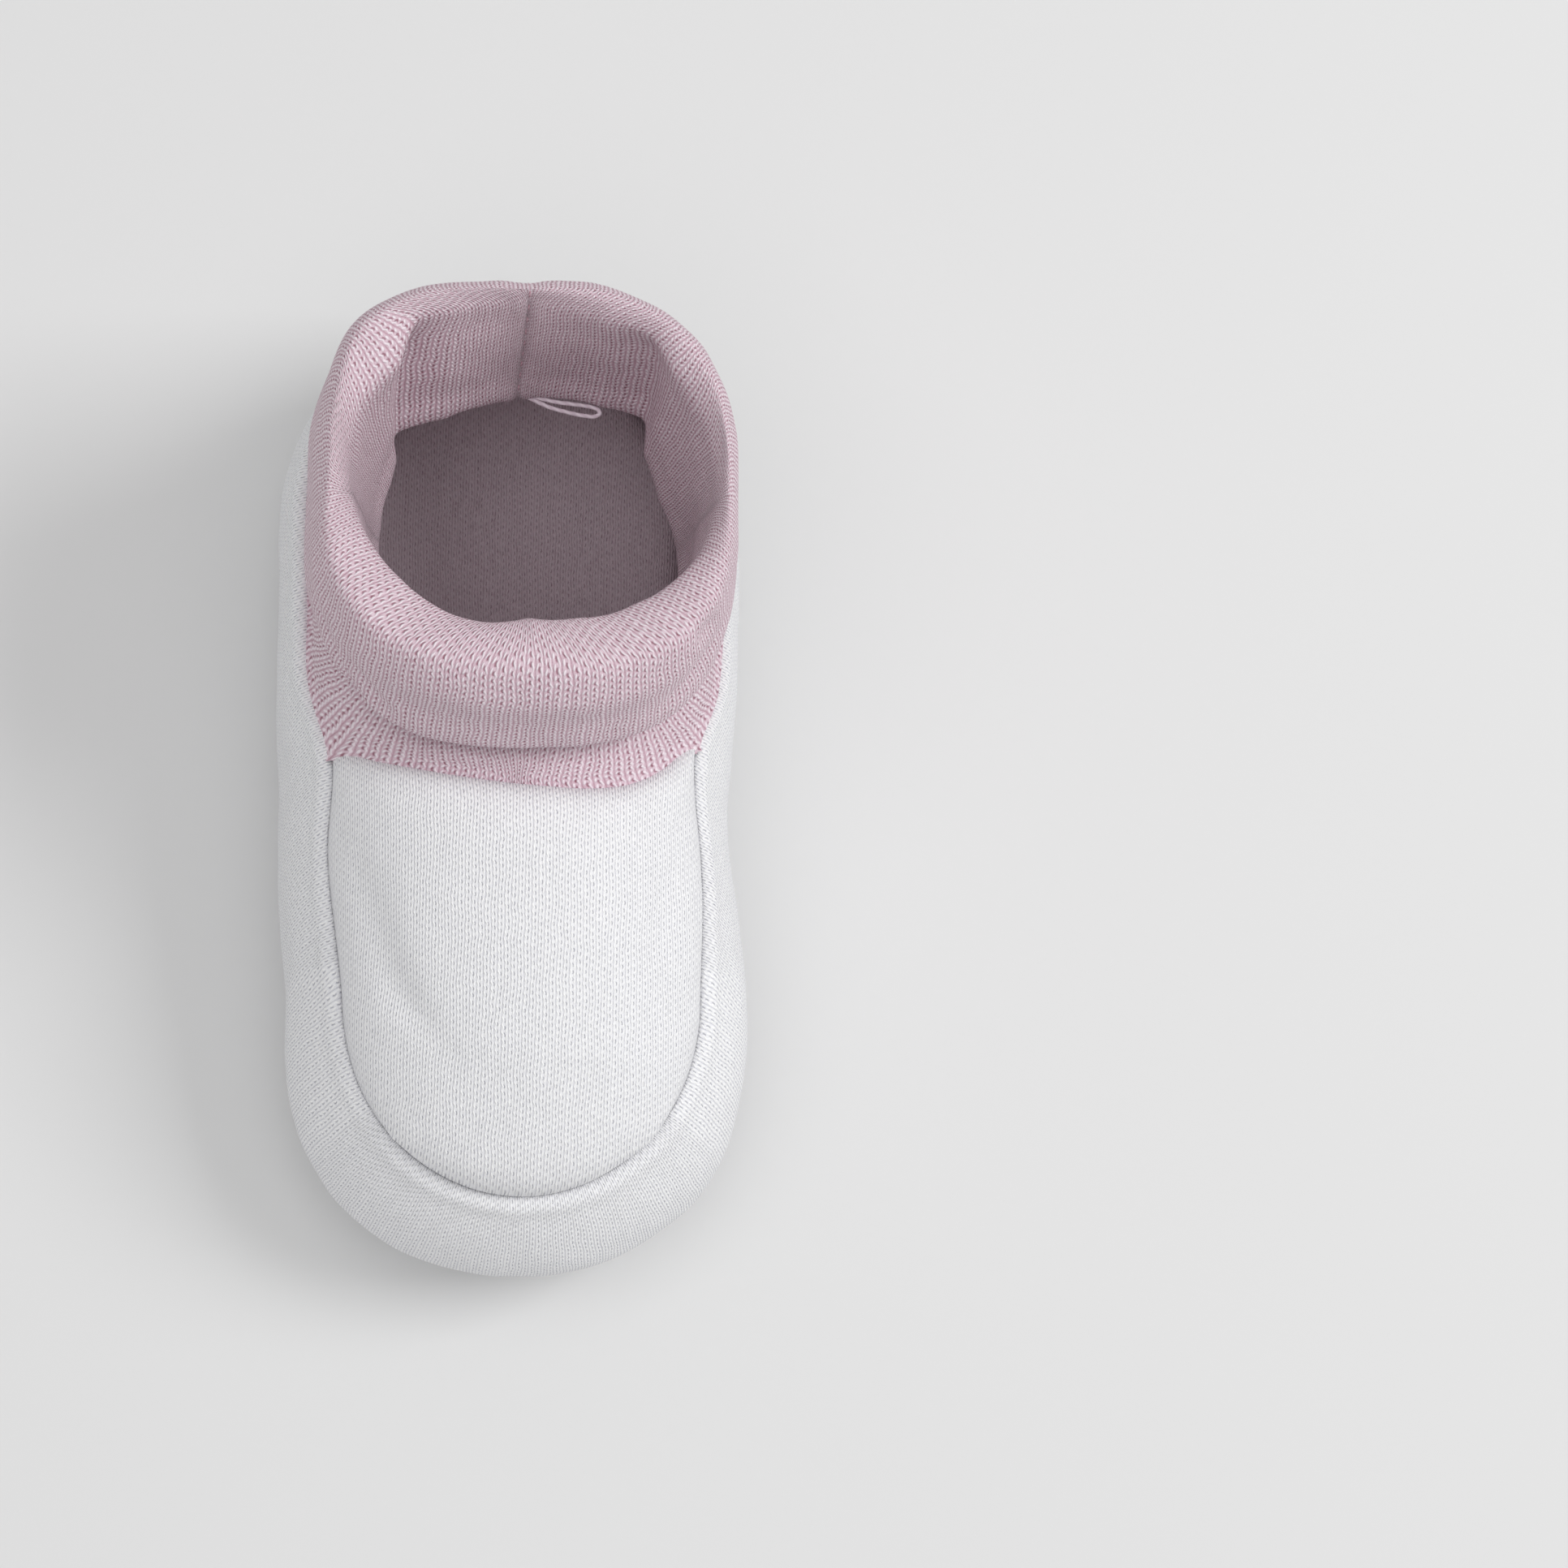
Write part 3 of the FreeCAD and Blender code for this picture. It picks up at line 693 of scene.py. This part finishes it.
def vamp_surface():
    """The vamp's outer face: a patch between the toe, the two sides and the ankle seam, puffed up."""
    across = closer_at_ends(VAMP_POINTS)
    along = closer_at_ends(VAMP_POINTS)
    toe = top_seam((2 * across - 1) * VAMP_TOE)
    ankle = ankle_seam(2 * across - 1)
    left = top_seam(-VAMP_TOE + (VAMP_CORNERS[0] + VAMP_TOE) * along)
    right = top_seam(VAMP_TOE + (VAMP_CORNERS[1] - VAMP_TOE) * along)
    a = across[:, None, None]
    b = along[None, :, None]
    grid = (1 - b) * toe[:, None] + b * ankle[:, None] + (1 - a) * left[None] + a * right[None]
    grid = grid - (1 - a) * (1 - b) * toe[0] - a * (1 - b) * toe[-1]
    grid = grid - (1 - a) * b * ankle[0] - a * b * ankle[-1]
    puff = (4 * along * (1 - along))[None, :] ** 0.75 * (1 - (2 * across - 1) ** 2)[:, None] ** 0.85
    grid[..., 2] += 4.6 * puff
    normal = facing(normals_of(grid, closed=False), UP)
    # Distance to the nearest sewn edge, for the pillowed border.
    row_walk = np.array([lengths_along(row) for row in grid])
    column_walk = np.array([lengths_along(grid[:, k]) for k in range(grid.shape[1])]).T
    from_row_end = np.minimum(row_walk, row_walk[:, -1:] - row_walk)
    from_column_end = np.minimum(column_walk, column_walk[-1:] - column_walk)
    from_edge = np.minimum(from_row_end, from_column_end)
    free = 1 - np.exp(-from_edge / 0.8)
    swell = 1.3 * (1 - np.exp(-from_edge / 2.0)) - crease_depth(grid, VAMP_CREASES)
    uneven = unevenness(grid, 15.0, 0.45) + unevenness(grid + 40, 4.0, 0.08)
    grid = grid + normal * (free * (swell + uneven))[..., None]
    grid = grid - SEAM_TUCK * np.exp(-from_edge / 0.6)[..., None] * UP
    # Wales run straight along the foot; across them the cloth is measured down its slopes.
    steps = np.hypot(np.diff(grid[..., 0], axis=0), np.diff(grid[..., 2], axis=0))
    over = np.concatenate([np.zeros((1, grid.shape[1])), np.cumsum(steps, axis=0)])
    middle = grid.shape[0] // 2
    over = over - over[middle] + grid[middle, :, 0]
    uv = np.stack([over, -grid[..., 1] * 1.07], axis=-1)
    return grid, normal, from_edge, uv


vamp_outer, vamp_normal, vamp_from_edge, vamp_uv = vamp_surface()
vamp_depth = (1 - np.exp(-vamp_from_edge / 1.6))[..., None]
ALL_EDGES = ["first_row", "last_row", "first_column", "last_column"]
vamp = cloth(
    "vamp_panel_knit", vamp_outer, vamp_outer - vamp_normal * (KNIT * (0.4 + 0.6 * vamp_depth)),
    vamp_uv, ALL_EDGES,
)
place(vamp, white_knit, "vamp_panel")
vamp_wadding = under_layer(
    "vamp_wadding_fleece", vamp_outer, vamp_normal, vamp_depth, under_wadding, WADDING, vamp_uv,
    ALL_EDGES, 4,
)
place(vamp_wadding, wadding_fleece, "vamp_wadding")
vamp_lining = under_layer(
    "vamp_lining_brushed", vamp_outer, vamp_normal, vamp_depth, under_lining, LINING, vamp_uv,
    ALL_EDGES, 4,
)
place(vamp_lining, lining_with_painted_shade, "vamp_lining")


# ---------------------------------------------------------------- the sole and the insole

# The rocker of the sole along its middle, as (Y, height above the floor).
SOLE_MIDDLE = {
    -48.4: 7.5, -44: 5.9, -36.5: 3.6, -28: 2.0, -15: 0.0, 0: 0.0,
    14: 0.0, 28: 0.2, 34.8: 1.4, 42.5: 4.4, 48.4: 7.8, 52.3: 12.0,
}


def sole_surface(lift, inset, sharpness):
    """A face of the sole: flat on the middle and curving up to the sole seam, lifted by a thickness."""
    around = np.linspace(-HALF_ROUND, HALF_ROUND, 421)
    share = np.sin(np.linspace(0, math.pi / 2, 41))
    edge = sole_edge(around)
    centre, out_x, out_y = spine(around)
    middle = np.stack([toe_lean(centre), centre, np.zeros_like(centre)], axis=-1)
    rim = edge - inset * np.stack([out_x, out_y, np.zeros_like(out_x)], axis=-1)
    grid = middle[:, None] + share[None, :, None] * (rim - middle)[:, None]
    keys = list(SOLE_MIDDLE)
    ground = np.maximum(curve_through(keys, list(SOLE_MIDDLE.values()), grid[..., 1]), 0)
    rise = edge[:, 2] - curve_through(keys, list(SOLE_MIDDLE.values()), rim[:, 1])
    height = ground + rise[:, None] * share[None, :] ** sharpness
    grid[..., 2] = height + lift * (1 - share[None, :] ** 10)
    grid[..., 2] += unevenness(grid * (1, 1, 0), 11.0, 0.35) * (1 - share[None, :] ** 6) * min(1.0, lift)
    return grid


sole_bottom = sole_surface(0.0, SEAM_TUCK, 4.5)
sole_top = sole_surface(KNIT, 1.5, 4.5)
sole_uv = sole_bottom[..., :2]
sole = cloth("sole_knit", sole_bottom, sole_top, sole_uv, ["last_column"])
place(sole, white_knit, "sole_outer")
wadding_bottom = sole_surface(KNIT + LAYER_GAP, 1.6, 4.5)[::3, ::2]
wadding_top = sole_surface(KNIT + LAYER_GAP + 3.6, 2.3, 4.5)[::3, ::2]
sole_wadding = cloth(
    "sole_wadding_fleece", wadding_bottom, wadding_top, wadding_bottom[..., :2], ["last_column"]
)
place(sole_wadding, wadding_fleece, "sole_wadding")
insole_bottom = sole_surface(4.6, 2.4, 4.5)
insole_top = sole_surface(6.2, 3.0, 4.5)
insole = cloth("insole_brushed", insole_bottom, insole_top, insole_bottom[..., :2], ["last_column"])
place(insole, lining_with_painted_shade, "insole")


# ---------------------------------------------------------------- the cuff

CUFF_CENTRE = (cuff_high[1] + 0.1) / 2
# The cuff's cross-section as rings, from the ankle seam up the tube, over inside the fold, down to the
# hem, up its outside, over the rim and down the inside. Each ring: left and right reach, front and back
# place, then its height at the back, the sides, the front corners and the front.
CUFF_RINGS = [
    (21.1, 21.1, 1.0, 44.0, 33.0, 32.5, 35.2, 39.7),
    (20.0, 20.0, 3.6, 44.4, 38.0, 38.0, 40.5, 43.5),
    (19.3, 19.3, 4.8, 45.3, 43.0, 46.0, 48.0, 49.0),
    (19.5, 19.5, 5.6, 45.7, 47.3, 51.2, 52.6, 53.0),
    (20.2, 20.2, 4.2, 46.0, 43.0, 46.0, 48.0, 49.0),
    (20.8, 20.9, 2.3, 46.2, 38.0, 38.0, 41.0, 44.5),
    (21.4, 21.5, 0.4, 46.5, 34.0, 34.0, 37.6, 41.6),
    (22.1, 22.2, -0.9, 47.5, 35.6, 36.0, 39.2, 42.9),
    (21.9, 21.9, 0.6, 47.6, 41.0, 43.0, 45.5, 48.0),
    (21.4, 21.5, 2.0, 47.1, 47.2, 49.5, 51.8, 53.0),
    (20.2, 20.3, 5.2, 45.4, 50.4, 53.0, 54.8, 56.0),
]
# Down the inside the cuff is creased into corners. By angle from the back, the reach at the rim and at
# the bottom of the wall; the two corners stand at different angles at the rim and at the bottom.
INSIDE_PLAN = {
    -180: (13.0, 24.0), -150: (14.8, 21.0), -125: (15.9, 16.8), -105: (17.2, 14.8), -85: (18.2, 14.4),
    -62: (19.6, 14.8), -48: (19.6, 15.4), -38: (21.8, 17.2), -24: (21.0, 15.2), -12: (20.9, 15.0),
    0: (20.8, 15.3), 15: (20.9, 16.2), 28: (21.0, 17.2), 40: (21.4, 19.2), 50: (20.0, 16.8),
    70: (19.8, 16.1), 90: (19.0, 17.0), 105: (18.4, 17.5), 120: (17.2, 17.4), 136: (15.6, 18.2),
    159: (13.8, 22.0), 180: (13.0, 24.0),
}
CORNER_TURN = {-38: (6.0, -10.0), 40: (-4.0, 4.0)}
# How much further each corner is pushed out half-way down the wall, by a fold that opens there.
CORNER_FOLD = {-38: 1.1, 40: 0.9}
# Levels down the inside: the share of the way from the rim to the bottom, then the heights as above.
INSIDE_LEVELS = [
    (0.0, 48.8, 51.5, 52.6, 54.0),
    (0.25, 44.5, 46.0, 47.5, 49.0),
    (0.50, 40.0, 40.0, 42.0, 44.0),
    (0.78, 35.0, 33.5, 35.5, 39.5),
    (1.0, 30.6, 28.5, 29.5, 37.2),
]
HEIGHT_STATIONS = [0, 50, 90, 137, 180]
SQUARENESS_FRONT, SQUARENESS_LEFT, SQUARENESS_RIGHT = 2.55, 3.1, 2.7
CUFF_WALES = 160
CUFF_ANGLES, CUFF_COLUMNS = 457, 221


def seam_ring(angles):
    """The cuff's sewn lower edge, all round: the top of the band and the arch over the instep."""
    right = top_seam(np.linspace(HALF_ROUND, VAMP_CORNERS[1], 90))
    left = top_seam(np.linspace(VAMP_CORNERS[0], -HALF_ROUND, 90))
    whole = np.concatenate([right[:-1], ankle_seam(np.linspace(1, -1, 120)), left[1:]])
    turn = np.arctan2(whole[:, 0], whole[:, 1] - CUFF_CENTRE) % (2 * math.pi)
    turn[-1] = 2 * math.pi
    return np.stack([np.interp(angles, turn, whole[:, k]) for k in range(3)], axis=-1)


def cuff_ring(ring, angles):
    """One level ring of the cuff, a rounded square whose height changes round it."""
    left, right, front, back, z_back, z_side, z_corner, z_front = ring
    sine, cosine = np.sin(angles), np.cos(angles)
    behind = np.where(sine < 0, SQUARENESS_LEFT, SQUARENESS_RIGHT)
    power = 2 / (SQUARENESS_FRONT + (behind - SQUARENESS_FRONT) * np.clip(0.5 + cosine, 0, 1))
    x = np.sign(sine) * np.abs(sine) ** power * np.where(sine < 0, left, right)
    depth = np.where(cosine < 0, CUFF_CENTRE - front, back - CUFF_CENTRE)
    y = np.sign(cosine) * np.abs(cosine) ** power * depth
    return np.stack([x, y + CUFF_CENTRE, height_round(angles, z_back, z_side, z_corner, z_front)], axis=-1)


def height_round(angles, z_back, z_side, z_corner, z_front):
    """The height of a ring at each angle."""
    turned = np.degrees(np.abs((angles + math.pi) % (2 * math.pi) - math.pi))
    levels = [z_back, 0.45 * z_back + 0.55 * z_side, z_side, z_corner, z_front]
    return curve_through(HEIGHT_STATIONS, levels, turned)


def inside_ring(level, angles):
    """One ring of the cuff's inside, with its two creased corners."""
    share, *heights = level
    degrees = (np.degrees(angles) + 180) % 360 - 180
    keys = np.array(list(INSIDE_PLAN), float)
    reaches = np.array(list(INSIDE_PLAN.values()))
    soften = np.linspace(-1.2, 1.2, 5)
    rim, bottom = (
        np.mean([np.interp((degrees + s + 180) % 360 - 180, keys, reaches[:, k]) for s in soften], axis=0)
        for k in range(2)
    )
    reach = rim + (bottom - rim) * share
    for corner, depth in CORNER_FOLD.items():
        reach = reach + depth * math.sin(math.pi * share ** 0.7) * gaussian(degrees - corner, 9)
    turned = degrees.copy()
    for corner, (at_rim, at_bottom) in CORNER_TURN.items():
        turned += (at_rim + (at_bottom - at_rim) * share) * gaussian(degrees - corner, 22)
    turned = np.radians(turned)
    x, y = reach * np.sin(turned), reach * np.cos(turned) + CUFF_CENTRE
    return np.stack([x, y, height_round(angles, *heights)], axis=-1)


def cuff_surface():
    """The cuff's skin by angle and by column, with the share of the columns at which each ring lies."""
    angles = np.linspace(0, 2 * math.pi, CUFF_ANGLES)
    seam = seam_ring(angles)
    rings = [cuff_ring(ring, angles) for ring in CUFF_RINGS]
    rings += [inside_ring(level, angles) for level in INSIDE_LEVELS]
    outwards = seam - np.array([0, CUFF_CENTRE, 0])
    outwards[:, 2] = 0
    outwards /= np.linalg.norm(outwards, axis=1, keepdims=True)
    # The sewn edge is tucked in under the edge of the foot.
    tucked = seam + 0.9 * outwards - 1.0 * UP
    below = seam - 1.6 * outwards - 1.5 * UP
    leaving = seam - 0.5 * outwards - 0.15 * UP
    climbing = seam + 0.4 * (rings[0] - seam) - 0.1 * outwards + 0.1 * UP
    controls = np.stack([tucked, leaving, climbing, *rings, below, tucked], axis=1)
    columns = np.linspace(0, 1, CUFF_COLUMNS)
    steps = np.linalg.norm(np.diff(controls[::19], axis=1), axis=-1).mean(axis=0)
    walked = np.concatenate([[0.0], np.cumsum(np.sqrt(steps))])
    stations = walked / walked[-1]
    grid = np.stack([curve_through(stations, column, columns) for column in controls])
    return angles, columns, grid, stations


angles, columns, cuff_grid, cuff_stations = cuff_surface()
cuff_normal = normals_of(cuff_grid)
outside = cuff_grid - np.array([0, CUFF_CENTRE, 40])
# Which of the controls are the hem, the first ring inside the rim, and the bottom of the inside.
HEM, RIM_INNER, BOTTOM = 10, 14, 18
hem_column = int(np.argmin(np.abs(columns - cuff_stations[HEM])))
if np.sum(cuff_normal[:, hem_column] * outside[:, hem_column]) < 0:
    cuff_normal = -cuff_normal
signed = (np.degrees(angles) + 180) % 360 - 180
folded = np.clip((columns - cuff_stations[HEM - 1]) / 0.03, 0, 1)
# The back seam pulls a groove into the cloth, over the rim and down both faces.
DEGREES_IN_RADIAN = 57.3
seam_away = signed[:, None] * CUFF_CENTRE / DEGREES_IN_RADIAN
groove = -0.32 * gaussian(seam_away, 0.45) + 0.08 * gaussian(np.abs(seam_away) - 1.4, 0.8)
over_rim = 1 - 0.75 * gaussian(columns - cuff_stations[RIM_INNER - 1], 0.05)
groove = groove * (folded * over_rim)[None, :]
# Soft crumples in the cuff's outside, each from one point to another, with its depth and width.
CUFF_CREASES = [
    ((-20.5, 8.0, 47.0), (-13.0, 1.0, 41.5), 0.90, 1.7),
    ((-21.5, 14.0, 44.0), (-16.5, 3.5, 38.5), 0.70, 1.6),
    ((-19.0, 12.0, 50.0), (-9.0, 1.2, 45.5), 0.50, 1.6),
    ((20.5, 10.0, 49.0), (15.0, 10.5, 54.0), 0.80, 1.6),
    ((21.0, 12.0, 44.0), (14.0, 3.0, 45.0), 0.55, 1.8),
]
displacement = groove - crease_depth(cuff_grid, CUFF_CREASES)
cuff_grid = cuff_grid + cuff_normal * displacement[..., None]
cuff_grid = cuff_grid + cuff_normal * unevenness(cuff_grid, 11.0, 0.5)[..., None]
cuff_grid = cuff_grid + cuff_normal * unevenness(cuff_grid + 40, 4.0, 0.12)[..., None]
round_share = lengths_along(cuff_grid[:, hem_column + 20])
round_share = round_share / round_share[-1]
profile_walk = np.mean([lengths_along(row) for row in cuff_grid[::12]], axis=0)
cuff_uv = np.stack(
    np.broadcast_arrays(round_share[:, None] * CUFF_WALES * PINK_WALE, profile_walk[None, :]), axis=-1
)
count = cuff_grid.shape[0] * cuff_grid.shape[1]
cuff = finished_mesh(
    "cuff_jersey", cuff_grid.reshape(-1, 3),
    quads(np.arange(count).reshape(cuff_grid.shape[:2])).tolist(), cuff_uv.reshape(-1, 2),
)
place(cuff, pink_jersey, "cuff")


# ---------------------------------------------------------------- sewing threads and the hang loop

STITCH_PITCH = 2.3
BACK_STITCH_PITCH = 2.1
THREAD = 0.16
HEEL_THREAD = 0.14
BACK_THREAD = 0.12
seam_line = np.linspace(-HALF_ROUND, HALF_ROUND, 800)
_, out_x, out_y = spine(seam_line)
outward = np.stack([out_x, out_y, np.zeros_like(out_x)], axis=-1)
top_line = top_seam(seam_line)
top_thread = stitches(
    "band_top_seam_stitches", top_line - outward * 0.1 - UP * 1.7, UP + 0 * outward, STITCH_PITCH, THREAD
)
place(top_thread, white_thread, "band_top_seam_thread")
sole_line = sole_edge(seam_line)
sole_thread = stitches(
    "sole_seam_stitches", sole_line - outward * 0.75, outward, STITCH_PITCH, THREAD
)
place(sole_thread, white_thread, "sole_seam_thread")

arch = ankle_seam(np.linspace(-1, 1, 200))
ankle_thread = stitches("ankle_seam_stitches", arch - UP * 1.3, UP + 0 * arch, STITCH_PITCH, THREAD)
place(ankle_thread, pink_thread, "ankle_seam_thread")

heel_row = band_outer[0, 6:-6]
heel_out = band_normal[0, 6:-6]
heel_thread = stitches(
    "band_heel_seam_stitches", heel_row + heel_out * 0.02, heel_out, STITCH_PITCH, HEEL_THREAD
)
place(heel_thread, white_thread, "band_heel_seam_thread")

last = CUFF_COLUMNS - 1
back_columns = np.arange(int(cuff_stations[HEM - 1] * last) + 4, int(cuff_stations[BOTTOM] * last) - 2)
back_row = cuff_grid[0, back_columns]
back_out = cuff_normal[0, back_columns]
back_thread = stitches(
    "cuff_back_seam_stitches", back_row - back_out * 0.08, back_out, BACK_STITCH_PITCH, BACK_THREAD
)
place(back_thread, pink_thread, "cuff_back_seam_thread")

eye = Vector(next(j for j in frame["joints"] if j["name"] == "loop_swing")["pos_m"]) / MM
LOOP_HEADING = math.radians(20)
LOOP_DIRECTION = np.array([math.cos(LOOP_HEADING), -math.sin(LOOP_HEADING), 0.0])
LOOP_SIDE = np.array([math.sin(LOOP_HEADING), math.cos(LOOP_HEADING), 0.0])
# One strand out and one back, as (along the loop, across it, up).
LOOP_ROUTE = [
    (-0.9, 0.05, 0.05), (0.6, 0.2, 0.05), (2.4, 0.45, 0.05), (4.4, 0.95, 0.0), (6.2, 1.35, -0.1),
    (6.9, 1.35, -0.15), (7.2, 1.0, -0.2), (6.9, 0.62, -0.2), (5.7, 0.2, -0.2), (3.9, -0.1, -0.2),
    (2.1, -0.3, -0.1), (0.5, -0.25, 0.0), (-0.9, -0.1, 0.0),
]
route = np.array(LOOP_ROUTE)
stations = lengths_along(route)
route = curve_through(stations, route, np.linspace(0, stations[-1], 120))
loop_line = np.array(eye) + route[:, :1] * LOOP_DIRECTION + route[:, 1:2] * LOOP_SIDE + route[:, 2:] * UP
hang_loop = tubes("hang_loop_cord", [loop_line], 0.23, 12)
place(hang_loop, loop_cord, "hang_loop", body="loop")

tack_low, tack_high = box_in_mm("loop_bar_tack")
tack_middle = (tack_low + tack_high) / 2
tack_reach = (tack_high - tack_low) / 2
TACK_STITCHES = 5
TACK_SPACING = 0.16
tack_lines = []
for number in range(TACK_STITCHES):
    offset = (number - TACK_STITCHES // 2) * TACK_SPACING
    ends = np.linspace(-1, 1, 7)
    bow = 0.1 * np.cos(ends * 1.5)
    line = tack_middle + np.stack([0 * ends + offset, ends * tack_reach[1] * 0.8, bow], axis=-1)
    tack_lines.append(line)
bar_tack = tubes("loop_bar_tack_stitches", tack_lines, 0.1, 8)
place(bar_tack, pink_thread, "loop_bar_tack")


# ---------------------------------------------------------------- floor, light and camera


def floor_material():
    """Painted board, matt and pale grey."""
    material = new_material("matt_grey_board")
    surface = node(
        material, "ShaderNodeBsdfPrincipled",
        {"Base Color": hex_colour("#E2E2E2"), "Roughness": 0.9, "Specular IOR Level": 0.1},
    )
    node(material, "ShaderNodeOutputMaterial", {"Surface": surface.outputs[0]})
    return material


floor_mesh = bpy.data.meshes.new("floor")
REACH = 3.0
floor_mesh.from_pydata(
    [(-REACH, -REACH, 0), (REACH, -REACH, 0), (REACH, REACH, 0), (-REACH, REACH, 0)], [], [(0, 1, 2, 3)]
)
floor = bpy.data.objects.new("floor", floor_mesh)
bpy.context.scene.collection.objects.link(floor)
floor.data.materials.append(floor_material())


def soft_light(name, place_at, size, power):
    """A large square lamp turned towards the bootie."""
    lamp = bpy.data.lights.new(name, "AREA")
    lamp.shape = "SQUARE"
    lamp.size = size
    lamp.energy = power
    lamp_object = bpy.data.objects.new(name, lamp)
    bpy.context.scene.collection.objects.link(lamp_object)
    lamp_object.location = place_at
    towards = Vector((0, 0, 0.02)) - Vector(place_at)
    lamp_object.rotation_euler = towards.to_track_quat("-Z", "Y").to_euler()


soft_light("key_light", (0.7, 0.12, 0.8), 0.45, 4.6)
soft_light("overhead_light", (-0.15, -0.1, 1.1), 1.0, 3.8)

world = bpy.data.worlds.new("studio")
world.use_nodes = True
world.node_tree.nodes["Background"].inputs["Color"].default_value = (1.0, 1.0, 1.0, 1.0)
world.node_tree.nodes["Background"].inputs["Strength"].default_value = 0.46
bpy.context.scene.world = world
bpy.context.scene.view_settings.view_transform = "Standard"

# A long lens nearly overhead, a little to the left of the bootie and aimed past its right side.
LENS = 108.0
DISTANCE = 0.5
ELEVATION = math.radians(80)
camera_data = bpy.data.cameras.new("camera")
camera_data.lens = LENS
camera_data.sensor_width = 36.0
camera_data.clip_start = 0.01
camera = bpy.data.objects.new("camera", camera_data)
bpy.context.scene.collection.objects.link(camera)
stand = Vector((-0.025, -DISTANCE * math.cos(ELEVATION), 0.02 + DISTANCE * math.sin(ELEVATION)))
look = Vector((0.0293, 0.0, 0.02)) - stand
look.normalize()
right_hand = look.cross(Vector((0, 1, 0))).normalized()
overhead = right_hand.cross(look)
turn = Matrix((right_hand, overhead, -look)).transposed().to_4x4()
camera.matrix_world = Matrix.Translation(stand) @ turn
bpy.context.scene.camera = camera
